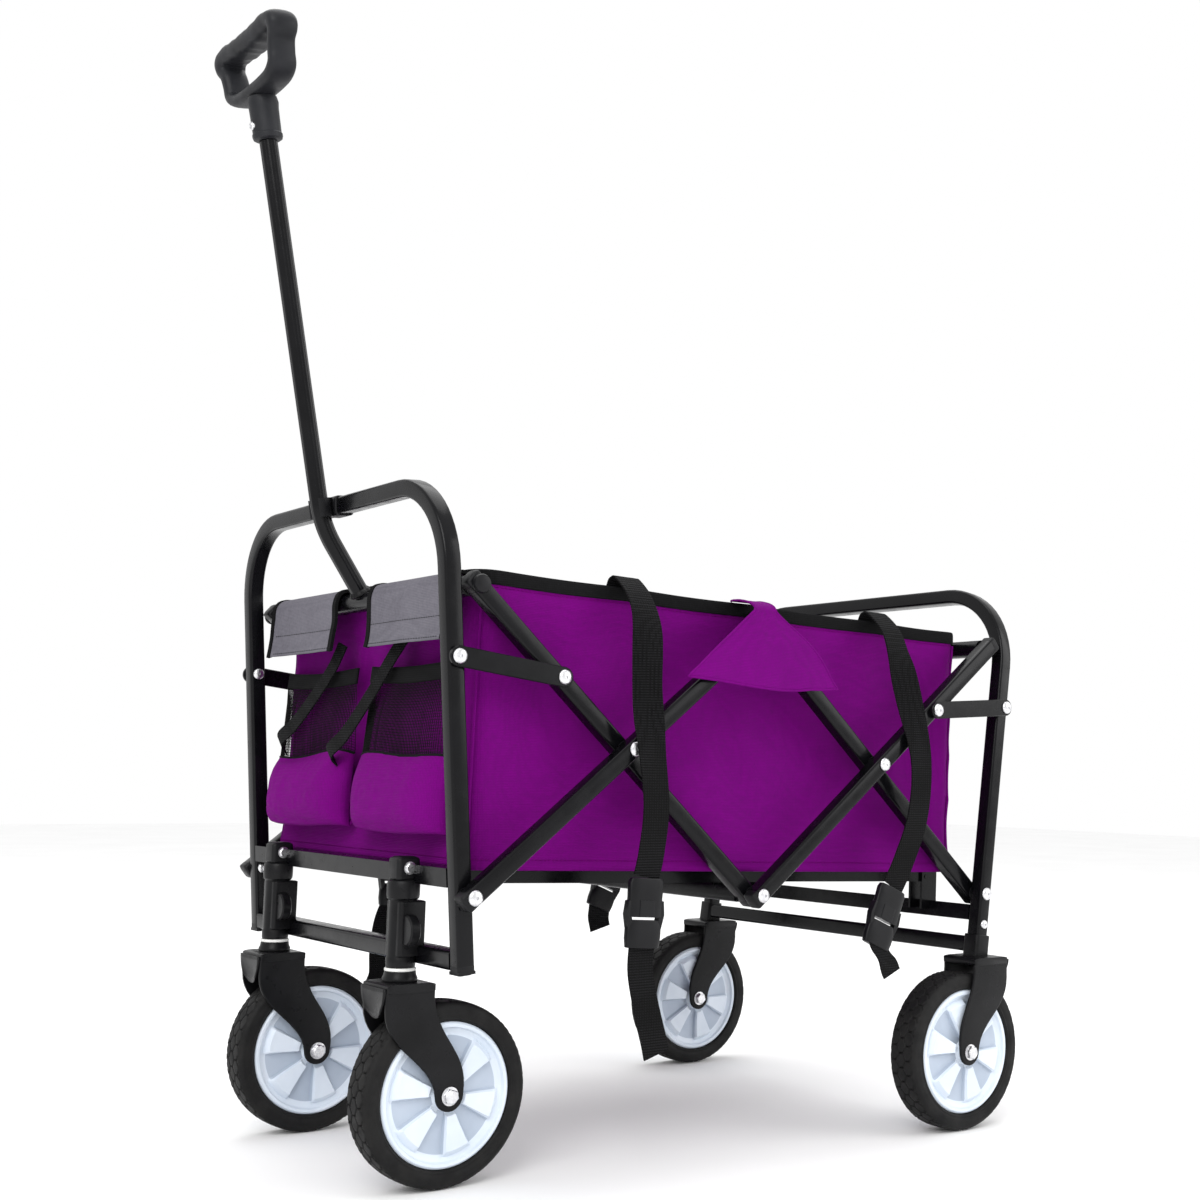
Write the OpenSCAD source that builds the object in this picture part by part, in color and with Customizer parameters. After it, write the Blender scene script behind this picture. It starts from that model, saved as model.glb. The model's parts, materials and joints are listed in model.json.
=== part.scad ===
// Folding utility wagon with a pull handle: a steel scissor frame, a fabric bed,
// swivelling front wheels and fixed rear wheels.
// +X points to the rear, +Z up, and the ground is z = 0.

/* [Frame] */
// Distance between the front and rear leg pivots when open
leg_span = 697; // [560:1:840]
// Height of the leg pivots above the ground
pivot_height = 276; // [250:1:330]
// Angle of the crossing bars above level when open
bar_angle = 40; // [34:0.5:44]
// Outward lean of the end frames
leg_lean = 6.1; // [3:0.1:8]
// Downward slope of the whole frame towards the rear
frame_slope = 1.5; // [0:0.1:2.5]
// Width across the outside of the front legs
front_width = 490; // [410:1:600]
// Side of the square frame tube
tube_side = 18; // [16:0.5:20]
// Wall of the frame tube
tube_wall = 1.5; // [1:0.1:2.5]
// Gap between neighbouring bars, taken up by a washer
lane_gap = 2; // [1.5:0.25:3]
// Length of leg below its pivot
leg_drop = 69; // [55:1:76]
// Height of the front arch's centreline above the scissors' middle top pivots
front_arch_over = 101.5; // [60:0.5:160]
// Height of the rear arch's centreline above the scissors' middle top pivots
rear_arch_over = 76.5; // [50:0.5:140]
// Bend radius of the front arch's corners
front_arch_radius = 85; // [60:1:110]
// Bend radius of the rear arch's corners
rear_arch_radius = 95; // [60:1:110]
// Distance that the falling bars' top ends stand beyond the leg pivots
top_bar_lead = 3.5; // [-4:0.5:8]
// Height of the link pivots above the leg pivots
link_rise = 224; // [190:1:260]
// Distance along the bar from its top end to the link pivot
link_reach = 128; // [110:1:140]

/* [Floor rails] */
// Height of a floor rail
rail_height = 12; // [8:0.5:14]
// Width of a floor rail
rail_width = 16; // [12:0.5:20]
// Distance from the middle to the front rails
rail_offset = 190; // [120:1:200]

/* [Fasteners] */
// Diameter of the pivot rivets
rivet_d = 8; // [6:0.5:10]
// Diameter of a rivet's head
rivet_head_d = 15; // [11:0.5:17]
// Height of a rivet's head
rivet_head_h = 3.5; // [2:0.1:5]
// Radial clearance round a turning pin
pin_clearance = 0.06; // [0.03:0.01:0.1]
// Gap left between neighbouring faces that slide
face_gap = 0.3; // [0.2:0.05:0.5]

/* [Handle] */
// Diameter of the handle tube
handle_d = 19; // [16:0.5:19.5]
// Diameter of the cross tube that the handle is welded to
cross_tube_d = 21; // [20:0.5:24]
// Forward reach of the bend in the handle tube
bend_reach = 56; // [50:1:64]
// Height of the bend above the cross tube
bend_rise = 76; // [66:1:84]
// Length of the straight handle tube above the bend
handle_length = 442; // [330:1:480]
// Forward lean of the straight handle tube
handle_lean = 13; // [9:0.5:17]
// Width of the moulded grip
grip_width = 156; // [120:1:170]
// Height of the moulded grip
grip_height = 72; // [66:1:96]
// Thickness of the grip from front to back
grip_depth = 34; // [26:1:40]

/* [Wheels] */
// Outside diameter of the wheels
wheel_d = 178; // [150:1:200]
// Width of the tyres
tyre_width = 40; // [32:1:48]
// Height of the tyres' section, from hub to tread
tyre_height = 19.5; // [14:0.5:30]
// Diameter of the wheel bolts
axle_d = 8; // [6:0.5:10]
// Distance of the front wheels from the middle
caster_offset = 150; // [135:1:165]
// Distance that the front wheels trail behind their stems
caster_trail = 46; // [40:1:60]
// Distance from the rear legs' feet forward to the rear axles
rear_axle_reach = 36; // [25:1:45]
// Thickness of the fork plates
fork_wall = 3; // [2:0.25:4]
// Diameter of the caster stems
stem_d = 12; // [10:0.5:14]

/* [Fabric bed] */
// Height of the bed's rim above the scissors' middle top pivots
rim_over = 20.5; // [8:0.5:46]
// Height of the bed's floor above the leg pivots
floor_rise = 27; // [26:0.5:34]
// Thickness of the fabric panels
panel_thickness = 3; // [2:0.5:4]
// Depth of the front pockets
pocket_depth = 28; // [15:1:30]
// Width of the webbing straps
strap_width = 38; // [25:1:40]

/* [Hidden] */
$fn = 48;

LEFT = -1;
RIGHT = 1;
SIDES = [LEFT, RIGHT];
FRONT = -1;
REAR = 1;
STEEL = [0.07, 0.07, 0.08];
ZINC = [0.8, 0.8, 0.82];
NYLON = [0.12, 0.12, 0.13];
PURPLE = [0.42, 0.0, 0.42];
GREY = [0.42, 0.42, 0.46];
WEBBING = [0.06, 0.06, 0.06];

half_side = tube_side / 2;
half_span = leg_span / 2;
lane_pitch = tube_side + lane_gap;
lane_in = front_width / 2 - half_side;   // front legs, falling bars
lane_out = lane_in + lane_pitch;         // rear legs, rising bars
bar_half = half_span / (2 * cos(bar_angle));
mid_rise = 2 * bar_half * sin(bar_angle);
top_bar_x = half_span + top_bar_lead;
front_arch_rise = mid_rise + front_arch_over;
rear_arch_rise = mid_rise + rear_arch_over;
rim_rise = mid_rise + rim_over;
bar_end = half_side;
overlap = 0.5;

// Pivot points in the frame's own plane, as [x, height]
FOOT = [-half_span, pivot_height];
CROSS = [-half_span / 2, pivot_height + mid_rise / 2];
MID_TOP = [0, pivot_height + mid_rise];
MID_LOW = [0, pivot_height];
TOP_END = [-top_bar_x, CROSS[1] + (top_bar_x - half_span / 2) * tan(bar_angle)];
LINK_LEG = [-(half_span + link_rise * tan(leg_lean)), pivot_height + link_rise];
LINK_BAR = TOP_END + link_reach * [cos(bar_angle), -sin(bar_angle)];

leg_foot_z = pivot_height - leg_drop;
lower_bar_z = leg_foot_z + half_side;
floor_bar_z = pivot_height + 17;
// Low enough for the scissor bars to turn above it
rear_floor_bar_z = pivot_height - sqrt(2) * half_side - half_side - 1.5;
floor_z = pivot_height + floor_rise;
rim_z = pivot_height + rim_rise;
rail_z = pivot_height + half_side + face_gap + rail_height / 2;
rail_pivot_gap = 12;
link_thickness = 4;
link_width = 20;
wheel_r = wheel_d / 2;
hub_d = wheel_d - 2 * tyre_height;
fork_gap = 2;
fork_inner = tyre_width / 2 + fork_gap;
washer_r = rivet_d / 2 + 4.5;
nut_r = rivet_d / 2 + 2.5;
bed_gap = 1;
bed_half_width = lane_in - half_side - face_gap - rivet_head_h - bed_gap;
panel_front_x = -top_bar_x + cross_tube_d / 2 + 1;
bed_middle_x = 51;

function mirror_x(p) = [-p[0], p[1]];
function leg_x(z) = half_span + (z - pivot_height) * tan(leg_lean);
// A point of the sloping frame in the row's level axes
function level_x(p) = bed_middle_x + p[0] * cos(frame_slope) + p[1] * sin(frame_slope);
function level_z(p) = p[1] * cos(frame_slope) - p[0] * sin(frame_slope);

module sloped() {
    translate([bed_middle_x, 0, 0])
        rotate([0, frame_slope, 0])
            children();
}

// ---------- Frame tube ----------

// A square tube along +X from the origin, closed with welded end plates
module tube_x(length) {
    difference() {
        translate([0, -half_side, -half_side])
            cube([length, tube_side, tube_side]);
        translate([tube_wall, tube_wall - half_side, tube_wall - half_side])
            cube([length - 2 * tube_wall, tube_side - 2 * tube_wall, tube_side - 2 * tube_wall]);
    }
}

// A square tube across the wagon, centred on y = 0
module tube_y(x, z, width, lean = 0) {
    translate([x, -width / 2, z])
        rotate([0, lean, 0])
            rotate([0, 0, 90])
                tube_x(width);
}

module cross_pin(p, y, r, length) {
    translate([p[0], y, p[1]])
        rotate([90, 0, 0])
            cylinder(r = r, h = length, center = true);
}

// A bar between two points of the frame's plane, with a bore at each listed distance along it
module bar(from, to, y, bores) {
    length = norm(to - from);
    angle = atan2(to[1] - from[1], to[0] - from[0]);
    translate([from[0], y, from[1]])
        rotate([0, -angle, 0])
            difference() {
                translate([-bar_end, 0, 0])
                    tube_x(length + 2 * bar_end);
                for (along = bores)
                    translate([along, 0, 0])
                        rotate([90, 0, 0])
                            cylinder(r = rivet_d / 2 + pin_clearance, h = 2 * tube_side, center = true);
            }
}

// Rivet through lanes from y_in to y_out: a domed head outside, a collar inside and washers in the gaps
module rivet(p, y_in, y_out, side, gaps = []) {
    y_a = side * (y_in - face_gap);
    y_b = side * (y_out + face_gap);
    cross_pin(p, (y_a + y_b) / 2, rivet_d / 2, abs(y_b - y_a) + 2 * overlap);
    translate([p[0], y_b, p[1]])
        rotate([side * -90, 0, 0])
            rivet_head();
    cross_pin(p, y_a - side * rivet_head_h / 2, nut_r, rivet_head_h);
    for (gap = gaps)
        cross_pin(p, side * gap, washer_r, lane_gap - 2 * face_gap);
}

module rivet_head() {
    cylinder(r = rivet_head_d / 2, h = rivet_head_h / 2);
    translate([0, 0, rivet_head_h / 2])
        cylinder(r1 = rivet_head_d / 2, r2 = rivet_head_d / 3, h = rivet_head_h / 2);
}

// ---------- End frames ----------

// Rectangle standing on z = -foot, with its two top corners rounded
module round_topped(half_width, foot, top, r) {
    translate([-half_width, -foot])
        square([2 * half_width, foot + top - r]);
    translate([r - half_width, -foot])
        square([2 * (half_width - r), foot + top]);
    for (side = SIDES)
        translate([side * (half_width - r), top - r])
            circle(r = r);
}

// Outline of a bent tube's upside-down U, whose wall reaches h to each side of its centreline
module arch_outline(y_centre, foot, top, radius, h) {
    difference() {
        round_topped(y_centre + h, foot, top + h, radius + h);
        round_topped(y_centre - h, foot + 1, top - h, radius - h);
    }
}

// An inverted U of square tube in its own plane, with its legs leaning outwards
module arch(end, y_centre, rise, radius) {
    top = rise / cos(leg_lean);
    foot = leg_drop / cos(leg_lean);
    hollow = half_side - tube_wall;
    translate([end * half_span, 0, pivot_height])
        rotate([0, end * leg_lean, 0])
            rotate([90, 0, 90])
                difference() {
                    linear_extrude(2 * half_side, center = true)
                        arch_outline(y_centre, foot, top, radius, half_side);
                    linear_extrude(2 * hollow, center = true)
                        arch_outline(y_centre, foot + 1, top, radius, hollow);
                }
}

module leg_bores(end, y_centre, heights) {
    for (z = heights, side = SIDES)
        cross_pin([end * leg_x(z), z], side * y_centre, rivet_d / 2 + pin_clearance, 2 * tube_side);
}

module front_arch() {
    color(STEEL)
        sloped()
            difference() {
                arch(FRONT, lane_in, front_arch_rise, front_arch_radius);
                leg_bores(FRONT, lane_in, [FOOT[1], LINK_LEG[1]]);
            }
}

module rear_arch() {
    color(STEEL)
        sloped()
            difference() {
                arch(REAR, lane_out, rear_arch_rise, rear_arch_radius);
                leg_bores(REAR, lane_out, [FOOT[1], LINK_LEG[1]]);
            }
}

module end_bar(end, y_centre, z) {
    tube_y(end * leg_x(z), z, 2 * (y_centre - half_side), end * leg_lean);
}

module front_lower_bar() {
    color(STEEL)
        sloped()
            end_bar(FRONT, lane_in, lower_bar_z);
}

module rear_lower_bar() {
    color(STEEL)
        sloped()
            end_bar(REAR, lane_out, lower_bar_z);
}

// Floor bar of an end frame with the ears that carry the floor rails
module floor_bar(end, y_centre, rail_y, bar_z) {
    difference() {
        union() {
            end_bar(end, y_centre, bar_z);
            for (side = SIDES, ear = SIDES)
                translate([
                    end * (leg_x(rail_z) - half_side - rail_pivot_gap / 2),
                    side * rail_y + ear * (rail_width / 2 + face_gap + 1.5),
                    rail_z
                ])
                    rail_ear(rail_z - bar_z);
        }
        for (side = SIDES)
            cross_pin([end * rail_pivot_x(), rail_z], side * rail_y, rail_pin_r() + pin_clearance, 3 * rail_width);
    }
}

function rail_pin_r() = 2.5;
function rail_pivot_x() = leg_x(rail_z) - half_side - rail_pivot_gap;

// Ear around the rail's pin, reaching down to a bar that lies by depth lower
module rail_ear(depth) {
    reach = max(depth, rail_height / 2);
    translate([-(rail_pivot_gap + 13) / 2, -1.5, -reach])
        cube([rail_pivot_gap + 13, 3, reach + rail_height / 2]);
}

module front_floor_bar() {
    color(STEEL)
        sloped()
            floor_bar(FRONT, lane_in, rail_offset, floor_bar_z);
}

module rear_floor_bar() {
    color(STEEL)
        sloped()
            floor_bar(REAR, lane_out, rail_offset - rail_width - lane_gap, rear_floor_bar_z);
}

module front_leg_caps() {
    cap_h = 3;
    color(NYLON)
        sloped()
            for (side = SIDES)
                translate([-leg_x(leg_foot_z), side * lane_in, leg_foot_z])
                    rotate([0, -leg_lean, 0])
                        translate([0, 0, -cap_h / 2])
                            cube([tube_side, tube_side, cap_h], center = true);
}

// Rivets that hold the bars to an end frame's legs
module front_leg_rivets() {
    color(ZINC)
        sloped()
            for (side = SIDES) {
                rivet(FOOT, lane_in - half_side, lane_out + half_side, side, [lane_in + lane_pitch / 2]);
                link_rivet(LINK_LEG, lane_in, side);
            }
}

module rear_leg_rivets() {
    color(ZINC)
        sloped()
            for (side = SIDES) {
                rivet(mirror_x(FOOT), lane_in - half_side, lane_out + half_side, side,
                      [lane_in + lane_pitch / 2]);
                link_rivet(mirror_x(LINK_LEG), lane_out, side);
            }
}

// Rivet from a leg out through the link
module link_rivet(p, lane, side) {
    rivet(p, lane - half_side, lane + half_side + lane_gap + link_thickness, side,
          [lane + half_side + lane_gap / 2]);
}

// ---------- Scissor bars ----------

module front_rising_bar(side) {
    color(STEEL)
        sloped()
            bar(FOOT, MID_TOP, side * lane_out, [0, bar_half, 2 * bar_half]);
}

module rear_rising_bar(side) {
    color(STEEL)
        sloped()
            bar(MID_LOW, mirror_x(TOP_END), side * lane_out, [0, bar_half]);
}

// Bore at the top end takes the handle's bush
module front_falling_bar(side) {
    color(STEEL)
        sloped()
            difference() {
                bar(MID_LOW, TOP_END, side * lane_in, [0, bar_half]);
                cross_pin(TOP_END, side * lane_in, bush_r() + pin_clearance, 2 * tube_side);
            }
}

module rear_falling_bar(side) {
    color(STEEL)
        sloped()
            bar(MID_TOP, mirror_x(FOOT), side * lane_in, [0, bar_half, 2 * bar_half]);
}

module front_rising_bar_left() { front_rising_bar(LEFT); }
module front_rising_bar_right() { front_rising_bar(RIGHT); }
module rear_rising_bar_left() { rear_rising_bar(LEFT); }
module rear_rising_bar_right() { rear_rising_bar(RIGHT); }
module front_falling_bar_left() { front_falling_bar(LEFT); }
module front_falling_bar_right() { front_falling_bar(RIGHT); }
module rear_falling_bar_left() { rear_falling_bar(LEFT); }
module rear_falling_bar_right() { rear_falling_bar(RIGHT); }

module scissor_rivets(points) {
    color(ZINC)
        sloped()
            for (side = SIDES, p = points)
                rivet(p, lane_in - half_side, lane_out + half_side, side, [lane_in + lane_pitch / 2]);
}

module front_rising_rivets() { scissor_rivets([CROSS, MID_TOP]); }
module rear_rising_rivets() { scissor_rivets([mirror_x(CROSS), MID_LOW]); }

// Its open ends take the collars of the rivets
module centre_cross_bar() {
    color(STEEL)
        sloped()
            difference() {
                tube_y(MID_LOW[0], MID_LOW[1], 2 * (lane_in - half_side));
                for (side = SIDES)
                    cross_pin(MID_LOW, side * (lane_in - half_side), nut_r + 0.5, 2 * (rivet_head_h + 1.5));
            }
}

// A round tube across the wagon, closed at both ends
module round_tube_y(p, d, length, wall) {
    difference() {
        cross_pin(p, 0, d / 2, length);
        cross_pin(p, 0, d / 2 - wall, length - 2 * wall);
    }
}

module rear_top_bar() {
    color(STEEL)
        sloped()
            round_tube_y(mirror_x(TOP_END), cross_tube_d, 2 * (lane_out - half_side), tube_wall);
}

// ---------- Links ----------

module link(from, to, y) {
    length = norm(to - from);
    angle = atan2(to[1] - from[1], to[0] - from[0]);
    translate([from[0], y, from[1]])
        rotate([0, -angle, 0])
            difference() {
                union() {
                    translate([length / 2, 0, 0])
                        cube([length, link_thickness, link_width], center = true);
                    for (x = [0, length])
                        translate([x, 0, 0])
                            rotate([90, 0, 0])
                                cylinder(d = link_width, h = link_thickness, center = true);
                }
                for (x = [0, length])
                    translate([x, 0, 0])
                        rotate([90, 0, 0])
                            cylinder(r = rivet_d / 2 + pin_clearance, h = 3 * link_thickness, center = true);
            }
}

function link_y(lane) = lane + half_side + lane_gap + link_thickness / 2;

module front_links() {
    color(STEEL)
        sloped()
            for (side = SIDES)
                link(LINK_LEG, LINK_BAR, side * link_y(lane_in));
}

module rear_links() {
    color(STEEL)
        sloped()
            for (side = SIDES)
                link(mirror_x(LINK_LEG), mirror_x(LINK_BAR), side * link_y(lane_out));
}

// Rivet at the bar's end of a link: it stops short of the bar, so that the link can leave it a little
module link_end_rivet(p, lane, side) {
    y_in = side * (lane + half_side + face_gap);
    y_out = side * (link_y(lane) + link_thickness / 2);
    cross_pin(p, (y_in + y_out) / 2, rivet_d / 2, abs(y_out - y_in));
    cross_pin(p, side * (lane + half_side + lane_gap / 2), washer_r, lane_gap - 2 * face_gap);
    translate([p[0], y_out, p[1]])
        rotate([side * -90, 0, 0])
            rivet_head();
}

module front_link_rivets() {
    color(ZINC)
        sloped()
            for (side = SIDES)
                link_end_rivet(LINK_BAR, lane_in, side);
}

module rear_link_rivets() {
    color(ZINC)
        sloped()
            for (side = SIDES)
                link_end_rivet(mirror_x(LINK_BAR), lane_out, side);
}

// ---------- Floor rails ----------

// Pair of half-length rails, from an end frame's ears to just past the middle
module floor_rails(end, rail_y) {
    reach = rail_pivot_x();
    for (side = SIDES)
        translate([end * reach, side * rail_y, rail_z])
            rotate([0, 0, end > 0 ? 180 : 0]) {
                difference() {
                    translate([-rail_height / 2, -rail_width / 2, -rail_height / 2])
                        cube([reach + rail_height, rail_width, rail_height]);
                    translate([rail_height, tube_wall - rail_width / 2, tube_wall - rail_height / 2])
                        cube([reach - 2 * rail_height, rail_width - 2 * tube_wall, rail_height - 2 * tube_wall]);
                }
                rotate([90, 0, 0])
                    cylinder(r = rail_pin_r(), h = rail_width + 8, center = true);
            }
}

module front_floor_rails() {
    color(STEEL)
        sloped()
            floor_rails(FRONT, rail_offset);
}

module rear_floor_rails() {
    color(STEEL)
        sloped()
            floor_rails(REAR, rail_offset - rail_width - lane_gap);
}

// ---------- Handle ----------

function bush_r() = 7.5;
function spigot_r() = 5.5;
BEND = TOP_END + [-bend_reach, bend_rise];
HANDLE_DIR = [-sin(handle_lean), cos(handle_lean)];
HANDLE_TOP = BEND + handle_length * HANDLE_DIR;

// Nylon bushes that the handle's cross tube turns in
module handle_bushes() {
    flange_h = 1.4;
    color(NYLON)
        sloped()
            for (side = SIDES)
                difference() {
                    union() {
                        cross_pin(TOP_END, side * lane_in, bush_r(), tube_side + 2 * flange_h);
                        for (face = SIDES)
                            cross_pin(TOP_END, side * lane_in + face * (half_side + face_gap + flange_h / 2),
                                      bush_r() + 1.5, flange_h);
                    }
                    cross_pin(TOP_END, side * lane_in, spigot_r() + pin_clearance, 2 * tube_side);
                }
}

module handle_cross_tube() {
    flange_room = 2 * face_gap + 1.4;
    length = 2 * (lane_in - half_side - flange_room);
    head_y = lane_in + half_side + flange_room;
    color(STEEL)
        sloped() {
            round_tube_y(TOP_END, cross_tube_d, length, tube_wall);
            for (side = SIDES) {
                cross_pin(TOP_END, side * (length / 2 + head_y) / 2, spigot_r(), head_y - length / 2 + 2 * overlap);
                cross_pin(TOP_END, side * (head_y + 2), bush_r() + 1.5, 4);
            }
        }
}

// Straight length of tube between two points of the middle plane
module round_run(from, to, d) {
    length = norm(to - from);
    angle = atan2(to[0] - from[0], to[1] - from[1]);
    translate([from[0], 0, from[1]])
        rotate([0, angle, 0])
            cylinder(d = d, h = length);
}

// The tube's two straight lengths are hollow up to the solid bend
module handle_tube() {
    bore = handle_d - 2 * tube_wall;
    solid_bend = 0.04;
    color(STEEL)
        sloped()
            difference() {
                union() {
                    round_run(TOP_END, BEND, handle_d);
                    translate([BEND[0], 0, BEND[1]])
                        sphere(d = handle_d);
                    round_run(BEND, HANDLE_TOP, handle_d);
                }
                round_run(TOP_END, TOP_END + (1 - 2 * solid_bend) * (BEND - TOP_END), bore);
                round_run(BEND + solid_bend * (HANDLE_TOP - BEND), HANDLE_TOP + HANDLE_DIR, bore);
                cross_pin(TOP_END, 0, cross_tube_d / 2, 2 * handle_d);
            }
}

// Places children with +Z along the handle tube and the origin at its top end
module at_handle_top() {
    sloped()
        translate([HANDLE_TOP[0], 0, HANDLE_TOP[1]])
            rotate([0, -handle_lean, 0])
                children();
}

collar_h = 46;
collar_d = 33;
socket_depth = 30;

module handle_collar() {
    color(NYLON)
        at_handle_top()
            difference() {
                translate([0, 0, -socket_depth])
                    cylinder(d = collar_d, h = collar_h);
                translate([0, 0, -socket_depth - 1])
                    cylinder(d = handle_d, h = socket_depth + 1);
                screw_shank(pin_clearance);
            }
}

// Screw through the collar's front
module screw_shank(extra) {
    translate([-collar_d / 2 - 2, 0, -socket_depth / 2])
        rotate([0, 90, 0])
            cylinder(d = 5 + 2 * extra, h = collar_d / 2 - handle_d / 2 + 2);
}

module handle_screw() {
    color(ZINC)
        at_handle_top() {
            screw_shank(0);
            translate([-collar_d / 2 - 2.5, 0, -socket_depth / 2])
                rotate([0, 90, 0])
                    cylinder(d = 9, h = 2.5);
        }
}

// Outline with round corners between two heights, with its own width at each
module round_trapezoid(bottom_width, top_width, bottom, top, r) {
    hull()
        for (side = SIDES) {
            translate([side * (bottom_width / 2 - r), bottom + r])
                circle(r = r);
            translate([side * (top_width / 2 - r), top - r])
                circle(r = r);
        }
}

grip_bottom_width = 104;
grip_hole_bottom_width = 76;
grip_side_thickness = 17;
grip_hole_low = 18;
grip_top_thickness = 22;

module handle_grip() {
    color(NYLON)
        at_handle_top()
            translate([0, 0, collar_h - socket_depth])
                rotate([90, 0, 90])
                    linear_extrude(grip_depth, center = true)
                        difference() {
                            round_trapezoid(grip_bottom_width, grip_width, 0, grip_height, 16);
                            round_trapezoid(grip_hole_bottom_width, grip_width - 2 * grip_side_thickness,
                                            grip_hole_low, grip_height - grip_top_thickness, 10);
                        }
}

// U-shaped clip on the front arch that holds the upright handle
module handle_clip() {
    z = pivot_height + front_arch_rise;
    arch_x = -leg_x(z);
    tube_x = BEND[0] - (z - BEND[1]) * tan(handle_lean);
    jaw = 4;
    back = arch_x - half_side;
    color(NYLON)
        sloped()
            difference() {
                translate([tube_x - handle_d / 2, -handle_d / 2 - jaw, z - 11])
                    cube([back - tube_x + handle_d / 2 + 2, handle_d + 2 * jaw, 22]);
                translate([BEND[0], 0, BEND[1]])
                    rotate([0, -handle_lean, 0]) {
                        cylinder(d = handle_d + 2 * face_gap, h = 90);
                        translate([-handle_d, 0, 45])
                            cube([2 * handle_d, handle_d + 2 * face_gap, 90], center = true);
                    }
                translate([arch_x, 0, z])
                    rotate([0, -leg_lean, 0])
                        cube([tube_side, 4 * handle_d, tube_side], center = true);
                translate([BEND[0], 0, BEND[1]])
                    sphere(d = handle_d + 4);
            }
}

// ---------- Casters and forks ----------

stem_x = level_x([-leg_x(lower_bar_z), lower_bar_z]) - half_side - 10;
socket_r = 14;
crown_z = wheel_d + 20;
socket_low = crown_z + 14;
socket_high = pivot_height + 24;
front_axle_x = stem_x + caster_trail;

// Space taken by a front cross bar, to cut what is welded to it
module front_bar_room(z) {
    sloped()
        translate([-leg_x(z), 0, z])
            rotate([0, -leg_lean, 0])
                cube([tube_side, 2 * lane_in, tube_side], center = true);
}

module caster_socket(side) {
    color(STEEL)
        difference() {
            union() {
                translate([stem_x, side * caster_offset, socket_low])
                    cylinder(r = socket_r, h = socket_high - socket_low);
                translate([stem_x, side * caster_offset, socket_high - 24])
                    cylinder(r = socket_r + 2.5, h = 18);
            }
            translate([stem_x, side * caster_offset, socket_low - 1])
                cylinder(r = stem_d / 2 + pin_clearance, h = socket_high - socket_low - 5);
            front_bar_room(lower_bar_z);
            front_bar_room(floor_bar_z);
        }
}

module caster_socket_left() { caster_socket(LEFT); }
module caster_socket_right() { caster_socket(RIGHT); }

// Side plate of a fork: a tapering leg from the crown down to the axle
function bezier(a, b, c, d, t) =
    pow(1 - t, 3) * a + 3 * t * pow(1 - t, 2) * b + 3 * t * t * (1 - t) * c + pow(t, 3) * d;

module fork_plate(crown_x, crown_top, crown_length, axle_x) {
    eye_r = 15;
    sweep = sign(axle_x - crown_x);
    steps = 8;
    lead_x = crown_x - sweep * crown_length / 2;
    trail_x = crown_x + sweep * crown_length / 2;
    lead_edge = [
        for (i = [0:steps])
            bezier(
                [lead_x, crown_top - 24],
                [lead_x, crown_top - 62],
                [axle_x - sweep * (eye_r + 3), wheel_r + 34],
                [axle_x - sweep * eye_r, wheel_r],
                i / steps
            )
    ];
    trail_edge = [
        for (i = [0:steps])
            bezier(
                [axle_x + sweep * eye_r, wheel_r],
                [axle_x + sweep * (eye_r + 6), wheel_r + 42],
                [trail_x + sweep * 4, crown_top - 56],
                [trail_x, crown_top - 14],
                i / steps
            )
    ];
    rotate([90, 0, 0])
        linear_extrude(fork_wall, center = true)
            difference() {
                union() {
                    polygon(concat([[trail_x, crown_top], [lead_x, crown_top]], lead_edge, trail_edge));
                    translate([axle_x, wheel_r])
                        circle(r = eye_r);
                }
                translate([axle_x, wheel_r])
                    circle(r = axle_d / 2 + pin_clearance);
            }
}

module fork(crown_x, y, crown_top, crown_length, axle_x) {
    for (face = SIDES)
        translate([0, y + face * (fork_inner + fork_wall / 2), 0])
            fork_plate(crown_x, crown_top, crown_length, axle_x);
    translate([crown_x - crown_length / 2, y - fork_inner - overlap, crown_top - fork_wall])
        cube([crown_length, 2 * fork_inner + 2 * overlap, fork_wall]);
}

module caster_fork(side) {
    y = side * caster_offset;
    color(STEEL) {
        fork(stem_x, y, crown_z, 52, front_axle_x);
        translate([stem_x, y, crown_z - overlap])
            cylinder(r = stem_d / 2, h = socket_high - crown_z - 12);
        translate([stem_x, y, crown_z - overlap])
            cylinder(r = 17, h = 8 + overlap);
        translate([stem_x, y, crown_z + 7])
            cylinder(r = 12, h = socket_low - crown_z - 7 - face_gap);
    }
}

module caster_fork_left() { caster_fork(LEFT); }
module caster_fork_right() { caster_fork(RIGHT); }

rear_foot = [leg_x(leg_foot_z), leg_foot_z];
rear_foot_x = level_x(rear_foot);
rear_crown_z = wheel_d + 16;
rear_axle_x = rear_foot_x - rear_axle_reach;

module rear_fork(side) {
    y = side * lane_out;
    color(STEEL)
        difference() {
            union() {
                fork(rear_foot_x, y, rear_crown_z, 56, rear_axle_x);
                sloped()
                    translate([rear_foot[0], y, rear_foot[1]])
                        rotate([0, leg_lean, 0])
                            translate([0, 0, 2])
                                cube([tube_side + 5, tube_side + 5, 28], center = true);
            }
            sloped()
                translate([rear_foot[0], y, rear_foot[1]])
                    rotate([0, leg_lean, 0])
                        translate([0, 0, 50])
                            cube([tube_side, tube_side, 100], center = true);
            translate([rear_foot_x, y, wheel_r])
                rotate([90, 0, 0])
                    cylinder(r = wheel_r + 6, h = 2 * fork_inner, center = true);
            sloped()
                translate([leg_x(lower_bar_z), 0, lower_bar_z])
                    rotate([0, leg_lean, 0])
                        cube([tube_side, 2 * (lane_out - half_side), tube_side], center = true);
        }
}

module rear_fork_left() { rear_fork(LEFT); }
module rear_fork_right() { rear_fork(RIGHT); }

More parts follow.
